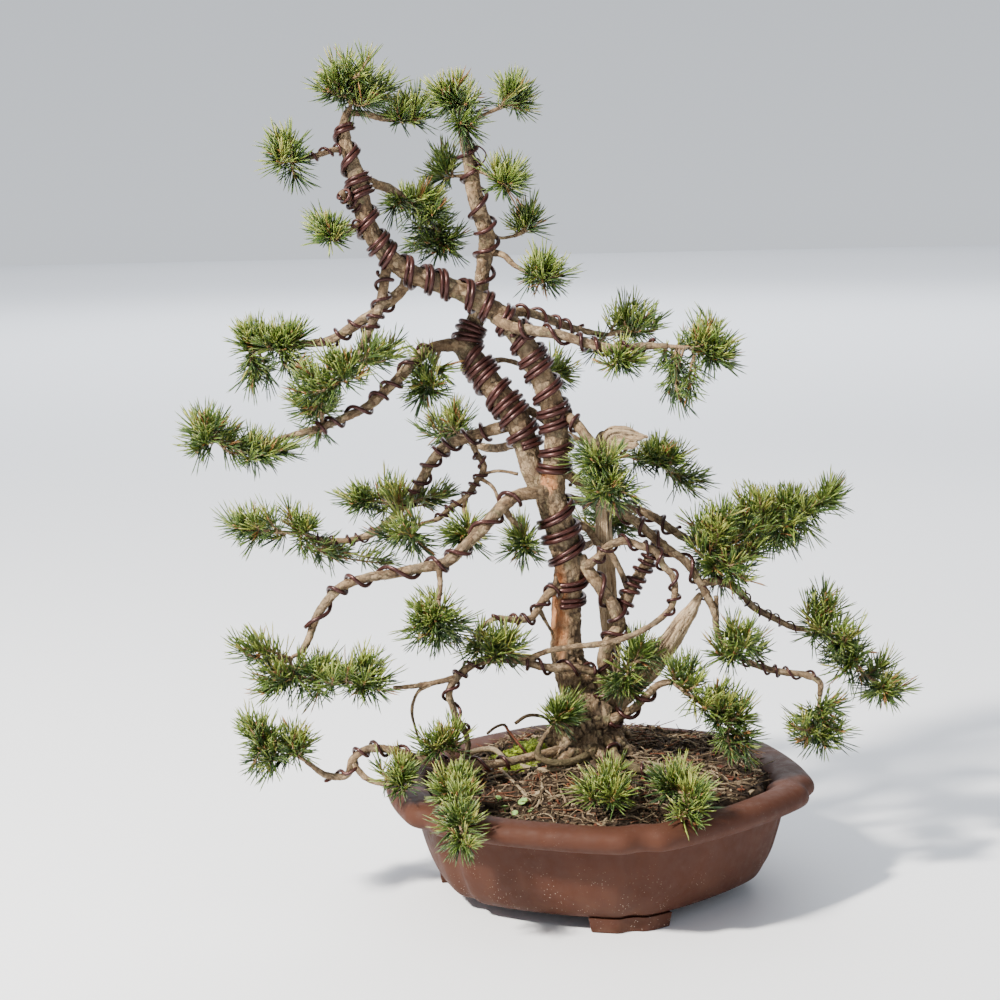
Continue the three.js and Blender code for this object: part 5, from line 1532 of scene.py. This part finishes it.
def make_pot():
    section = smoothed(POT_OUTSIDE + POT_INSIDE, 3)
    shapes = [Shape(*drawn(spun(section, True)), {}, 0)]
    shapes += [Shape(*drawn(foot_block(corner)), {}, 0) for corner in FOOT_CORNERS]
    body = shapes[0].points
    waver = np.array([noise.noise(Vector(point) / WAVER_LENGTH) for point in body])
    out = body - np.array(POT_MIDDLE)
    out[:, 2] = 0
    out /= np.maximum(np.linalg.norm(out, axis=1), 1)[:, None]
    shapes[0] = shapes[0]._replace(points=body + out * (waver * WAVER_DEPTH)[:, None])
    piece("clay_pot", shapes, "clay", [CLAY_FINISH], "pot", sharp_over=40)


def ground(x, y):
    """Height of the soil's finished surface, with its crumbs and hollows."""
    spot = Vector((x, y, 0))
    crumbs = noise.fractal(spot / 9, 0.9, 2.1, 5) * 1.7 + noise.fractal(spot / 34, 1.0, 2.0, 3) * 2.2
    return soil_height(x, y) + crumbs


def make_soil():
    top = [(radius, SOIL_EDGE) for radius in np.linspace(SOIL_TOP_RADIUS, 1.5, SOIL_RINGS)]
    bm = spun([(0, SOIL_BOTTOM), *SOIL_WALL, *top, (0, SOIL_EDGE)], False)
    for vert in bm.verts:
        if vert.co.z > SOIL_EDGE - 3:
            vert.co.z = ground(vert.co.x, vert.co.y)
    piece("soil_bed", [Shape(*drawn(bm), {}, 0)], "soil", [SOIL_FINISH], "soil")


def under_moss(spot):
    return any(
        ((spot.x - middle.x) / wide) ** 2 + ((spot.y - middle.y) / deep) ** 2 < 0.8
        for middle, wide, deep, _ in MOSS_CUSHIONS
    )


# What lies on the soil: how many of each, and how far from the pot's axis they may start
CRUMBS = 2600
CHIPS = 800
FALLEN_NEEDLES = 1000
ROOTLETS = 360
LITTER_EDGE = 175
ROOTLET_EDGE = 168
LITTER_SEED = 77
ROOTLET_SEED = 31


def soil_spots(count, rng, edge=LITTER_EDGE):
    """Random places on the bare soil."""
    for _ in range(count):
        angle = rng.uniform(0, 360)
        reach = lobed(edge, angle, NOTCH_DEPTH) * math.sqrt(rng.random())
        x = POT_MIDDLE.x + reach * math.cos(math.radians(angle))
        y = POT_MIDDLE.y + reach * math.sin(math.radians(angle))
        spot = Vector((x, y, ground(x, y)))
        if not under_moss(spot):
            yield spot


def litter_tint(rng):
    shades = [
        rng.uniform(0, 0.3), rng.uniform(0.35, 0.6), rng.uniform(0.62, 0.8), rng.uniform(0.88, 1),
    ]
    return rng.choices(shades, [7, 3, 1.2, 0.7])[0]


def any_turn(rng, tilt):
    lean = leaning(UP, rng.uniform(0, tilt), any_angle(rng))
    return lean.to_track_quat("Z", "Y") @ Quaternion((0, 0, 1), any_angle(rng))


def make_litter():
    rng = random.Random(LITTER_SEED)
    crumbs = []
    for spot in soil_spots(CRUMBS, rng):
        size = rng.uniform(0.8, 2.6)
        girth = (size * rng.uniform(0.7, 1.4), size * rng.uniform(0.7, 1.4), size * rng.uniform(0.5, 1))
        crumbs.append(Matrix.LocRotScale(spot + UP * 0.3, any_turn(rng, 1.5), Vector(girth)))
    chip = bmesh.new()
    bmesh.ops.create_cube(chip, size=2)
    chips = []
    for spot in soil_spots(CHIPS, rng):
        girth = (rng.uniform(2.5, 6.5), rng.uniform(1, 2.6), rng.uniform(0.3, 0.8))
        chips.append(Matrix.LocRotScale(spot + UP * 0.9, any_turn(rng, 0.8), Vector(girth)))
    shapes = [
        copies(drawn(ball(1)), crumbs, tint=[litter_tint(rng) for _ in crumbs]),
        copies(drawn(chip), chips, tint=[litter_tint(rng) for _ in chips]),
    ]
    piece("soil_crumbs_and_chips", shapes, "soil", [LITTER_FINISH], sharp_over=15)
    fallen = []
    for spot in soil_spots(FALLEN_NEEDLES, rng):
        direction = leaning(UP, math.radians(rng.uniform(74, 94)), any_angle(rng))
        fallen.append(aimed(spot + UP * 1.6, direction, 0, 0.55, rng.uniform(14, 27)))
    tints = [rng.choice([0.2, 0.35, 0.5, 0.7, 0.9]) + rng.uniform(-0.03, 0.03) for _ in fallen]
    piece("fallen_needles", [copies(NEEDLE, fallen, tint=tints)], "soil", [LITTER_FINISH])


def make_surface_roots():
    rng = random.Random(ROOTLET_SEED)
    shapes = []
    for points, radius, tint in SURFACE_ROOTS:
        laid = [on_soil(*point) + UP * radius * 0.8 for point in points]
        shapes.append(tube(thread(laid, [radius, radius, radius * 0.6], 3), 8, tint=tint))
    for spot in soil_spots(ROOTLETS, rng, ROOTLET_EDGE):
        heading = any_angle(rng)
        points = []
        for _ in range(rng.randint(4, 9)):
            points.append((spot.x, spot.y, ground(spot.x, spot.y) + rng.uniform(0.2, 3.4)))
            heading += rng.gauss(0, 0.45)
            spot = spot + Vector((math.cos(heading), math.sin(heading), 0)) * rng.uniform(5, 9)
            off = spot - POT_MIDDLE
            if math.hypot(off.x, off.y) > lobed(173, math.degrees(math.atan2(off.y, off.x)), NOTCH_DEPTH):
                break
        if len(points) < 3:
            continue
        thick = rng.uniform(0.45, 1.15)
        tint = rng.choice([0.4, 0.55, 0.66, 0.72, 0.78, 0.88])
        shapes.append(tube(thread(points, [thick, thick, thick * 0.4], 5.5), 5, tint=tint))
    piece("surface_roots", shapes, "soil", [LITTER_FINISH])


MOSS_SEED = 12
MOSS_BLADES = 22
# Moss cushions: the middle, and the reach across, back and up
MOSS_CUSHIONS = [
    (on_soil(531, 742), 25, 26, 9),
    (on_soil(512, 757), 24, 15, 7),
    (on_soil(545, 758), 22, 14, 7),
    (on_soil(528, 768), 26, 9, 5),
    (on_soil(606, 766), 18, 10, 4),
]


def make_moss():
    rng = random.Random(MOSS_SEED)
    shapes = []
    blades = []
    for middle, wide, deep, tall in MOSS_CUSHIONS:
        bm = ball(5)
        for vert in bm.verts:
            swell = 1 + 0.22 * noise.fractal(vert.co * 3, 1, 2, 3)
            x = middle.x + vert.co.x * wide * swell
            y = middle.y + vert.co.y * deep * swell
            vert.co = Vector((x, y, ground(x, y) - 1.5 + vert.co.z * tall * swell))
        points, faces = drawn(bm)
        lift = np.array([noise.fractal(Vector(point) / 4.5, 1, 2, 3) for point in points])
        points[:, 2] += lift * 1.3
        # The note height darkens the low parts of the cushion in the finish, as painted shade
        shapes.append(Shape(points, faces, {"height": np.clip(0.5 + lift, 0, 1)}, 0))
        for point in points[rng.sample(range(len(points)), int(wide * MOSS_BLADES))]:
            spot = Vector(point)
            if spot.z < ground(spot.x, spot.y):
                continue
            direction = leaning(UP, rng.uniform(0, 0.7), any_angle(rng))
            blades.append(aimed(spot - UP * 0.6, direction, any_angle(rng), 0.36, rng.uniform(2, 4.4)))
    shapes.append(copies(NEEDLE, blades))
    piece("moss_cushions", shapes, "moss", [MOSS_FINISH], "moss")


SEEDLING_SEED = 9
# Round leaves of a seedling by the rim, on the sheet, with the radius of each
SEEDLING_LEAVES = [(505, 812, 4.6), (521, 806, 5.2), (513, 818, 3.6), (530, 815, 3.4), (498, 803, 3.2)]


def make_seedling():
    rng = random.Random(SEEDLING_SEED)
    leaf = bmesh.new()
    bmesh.ops.create_uvsphere(leaf, u_segments=14, v_segments=6, radius=1)
    for vert in leaf.verts:
        vert.co.z = vert.co.z * 0.09 - 0.18 * (vert.co.x**2 + vert.co.y**2)
    blade = drawn(leaf)
    places = []
    shapes = []
    for across, down, radius in SEEDLING_LEAVES:
        foot = on_soil(across, down)
        top = foot + Vector((rng.uniform(-2, 2), rng.uniform(-2, 2), 6))
        lean = leaning(UP, 0.5, any_angle(rng)).to_track_quat("Z", "Y")
        places.append(Matrix.LocRotScale(top, lean, Vector((radius, radius, radius))))
        shapes.append(tube(thread([foot - UP, foot.lerp(top, 0.5), top], [0.5, 0.5, 0.4], 2), 5))
    shapes.append(copies(blade, places))
    piece("seedling_leaves", shapes, "moss", [LEAF_FINISH])


def make_floor():
    bpy.ops.mesh.primitive_plane_add(size=60)
    floor = bpy.context.object
    floor.name = "studio_floor"
    paint = bpy.data.materials.new("pale_floor")
    paint.use_nodes = True
    shader = paint.node_tree.nodes["Principled BSDF"]
    shader.inputs["Base Color"].default_value = (0.86, 0.88, 0.92, 1)
    shader.inputs["Roughness"].default_value = 0.9
    floor.data.materials.append(paint)


def make_lamp(name, place, target, size, watts, colour):
    lamp = bpy.data.lights.new(name, "AREA")
    lamp.shape = "DISK"
    lamp.size = size
    lamp.energy = watts
    lamp.color = colour
    holder = bpy.data.objects.new(name, lamp)
    holder.location = place
    holder.rotation_euler = (Vector(target) - Vector(place)).to_track_quat("-Z", "Y").to_euler()
    bpy.context.collection.objects.link(holder)


def make_light():
    target = (0, 0, 0.4)
    make_lamp("key_light", (-2.3, -1.75, 2.9), target, 0.36, 520, (1.0, 0.94, 0.85))
    make_lamp("fill_light", (2.4, -1.6, 1.2), target, 2.0, 6, (0.9, 0.94, 1.0))
    make_lamp("back_light", (1.0, 2.4, 2.2), target, 1.6, 22, (0.95, 0.97, 1.0))
    overhead = bpy.data.lights.new("overhead_light", "SUN")
    overhead.energy = 0.9
    overhead.angle = math.radians(70)
    bpy.context.collection.objects.link(bpy.data.objects.new("overhead_light", overhead))
    make_lamp("far_floor_light", (0, 9, 5), (0, 9, 0), 11, 900, (0.93, 0.96, 1.0))
    make_lamp("horizon_light", (0, 23, 9), (0, 23, 0), 22, 1300, (0.93, 0.96, 1.0))
    world = bpy.data.worlds.new("studio")
    world.use_nodes = True
    sky = world.node_tree.nodes["Background"]
    sky.inputs["Strength"].default_value = 0.95
    ways = world.node_tree.nodes.new("ShaderNodeTexCoord")
    height = world.node_tree.nodes.new("ShaderNodeSeparateXYZ")
    fade = world.node_tree.nodes.new("ShaderNodeValToRGB")
    fade.color_ramp.elements[0].color = (0.88, 0.93, 1, 1)
    fade.color_ramp.elements[1].color = (0.08, 0.1, 0.13, 1)
    world.node_tree.links.new(ways.outputs["Generated"], height.inputs["Vector"])
    world.node_tree.links.new(height.outputs["Z"], fade.inputs["Fac"])
    world.node_tree.links.new(fade.outputs["Color"], sky.inputs["Color"])
    bpy.context.scene.world = world


def make_camera():
    camera = bpy.data.cameras.new("portrait_camera")
    camera.lens = camera.sensor_width * EYE_TO_SHEET / (2 * SHEET_MIDDLE)
    camera.clip_end = 200
    holder = bpy.data.objects.new("portrait_camera", camera)
    tilt = Matrix.Rotation(math.pi / 2 - EYE_TILT, 4, "X") @ Matrix.Rotation(-SHEET_LEAN, 4, "Z")
    holder.matrix_world = Matrix.Translation(EYE * MM) @ tilt
    bpy.context.collection.objects.link(holder)
    bpy.context.scene.camera = holder


CLAY_FINISH = clay_finish()
BARK_FINISH = bark_finish()
TWIG_FINISH = twig_finish()
WIRE_FINISH = wire_finish()
NEEDLE_FINISH = needle_finish()
SOIL_FINISH = soil_finish()
LITTER_FINISH = litter_finish()
MOSS_FINISH = moss_finish()
LEAF_FINISH = leaf_finish()

make_camera()
make_light()
make_floor()
make_pot()
make_soil()
make_litter()
make_surface_roots()
make_moss()
make_seedling()
make_trunks()
make_branches()
make_wires()
for order, (name, stem, bushes) in enumerate(SPRAYS):
    make_spray(name, stem, bushes, order)

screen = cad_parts["drain_screen"]
screen.data.materials.clear()
screen.data.materials.append(screen_finish())
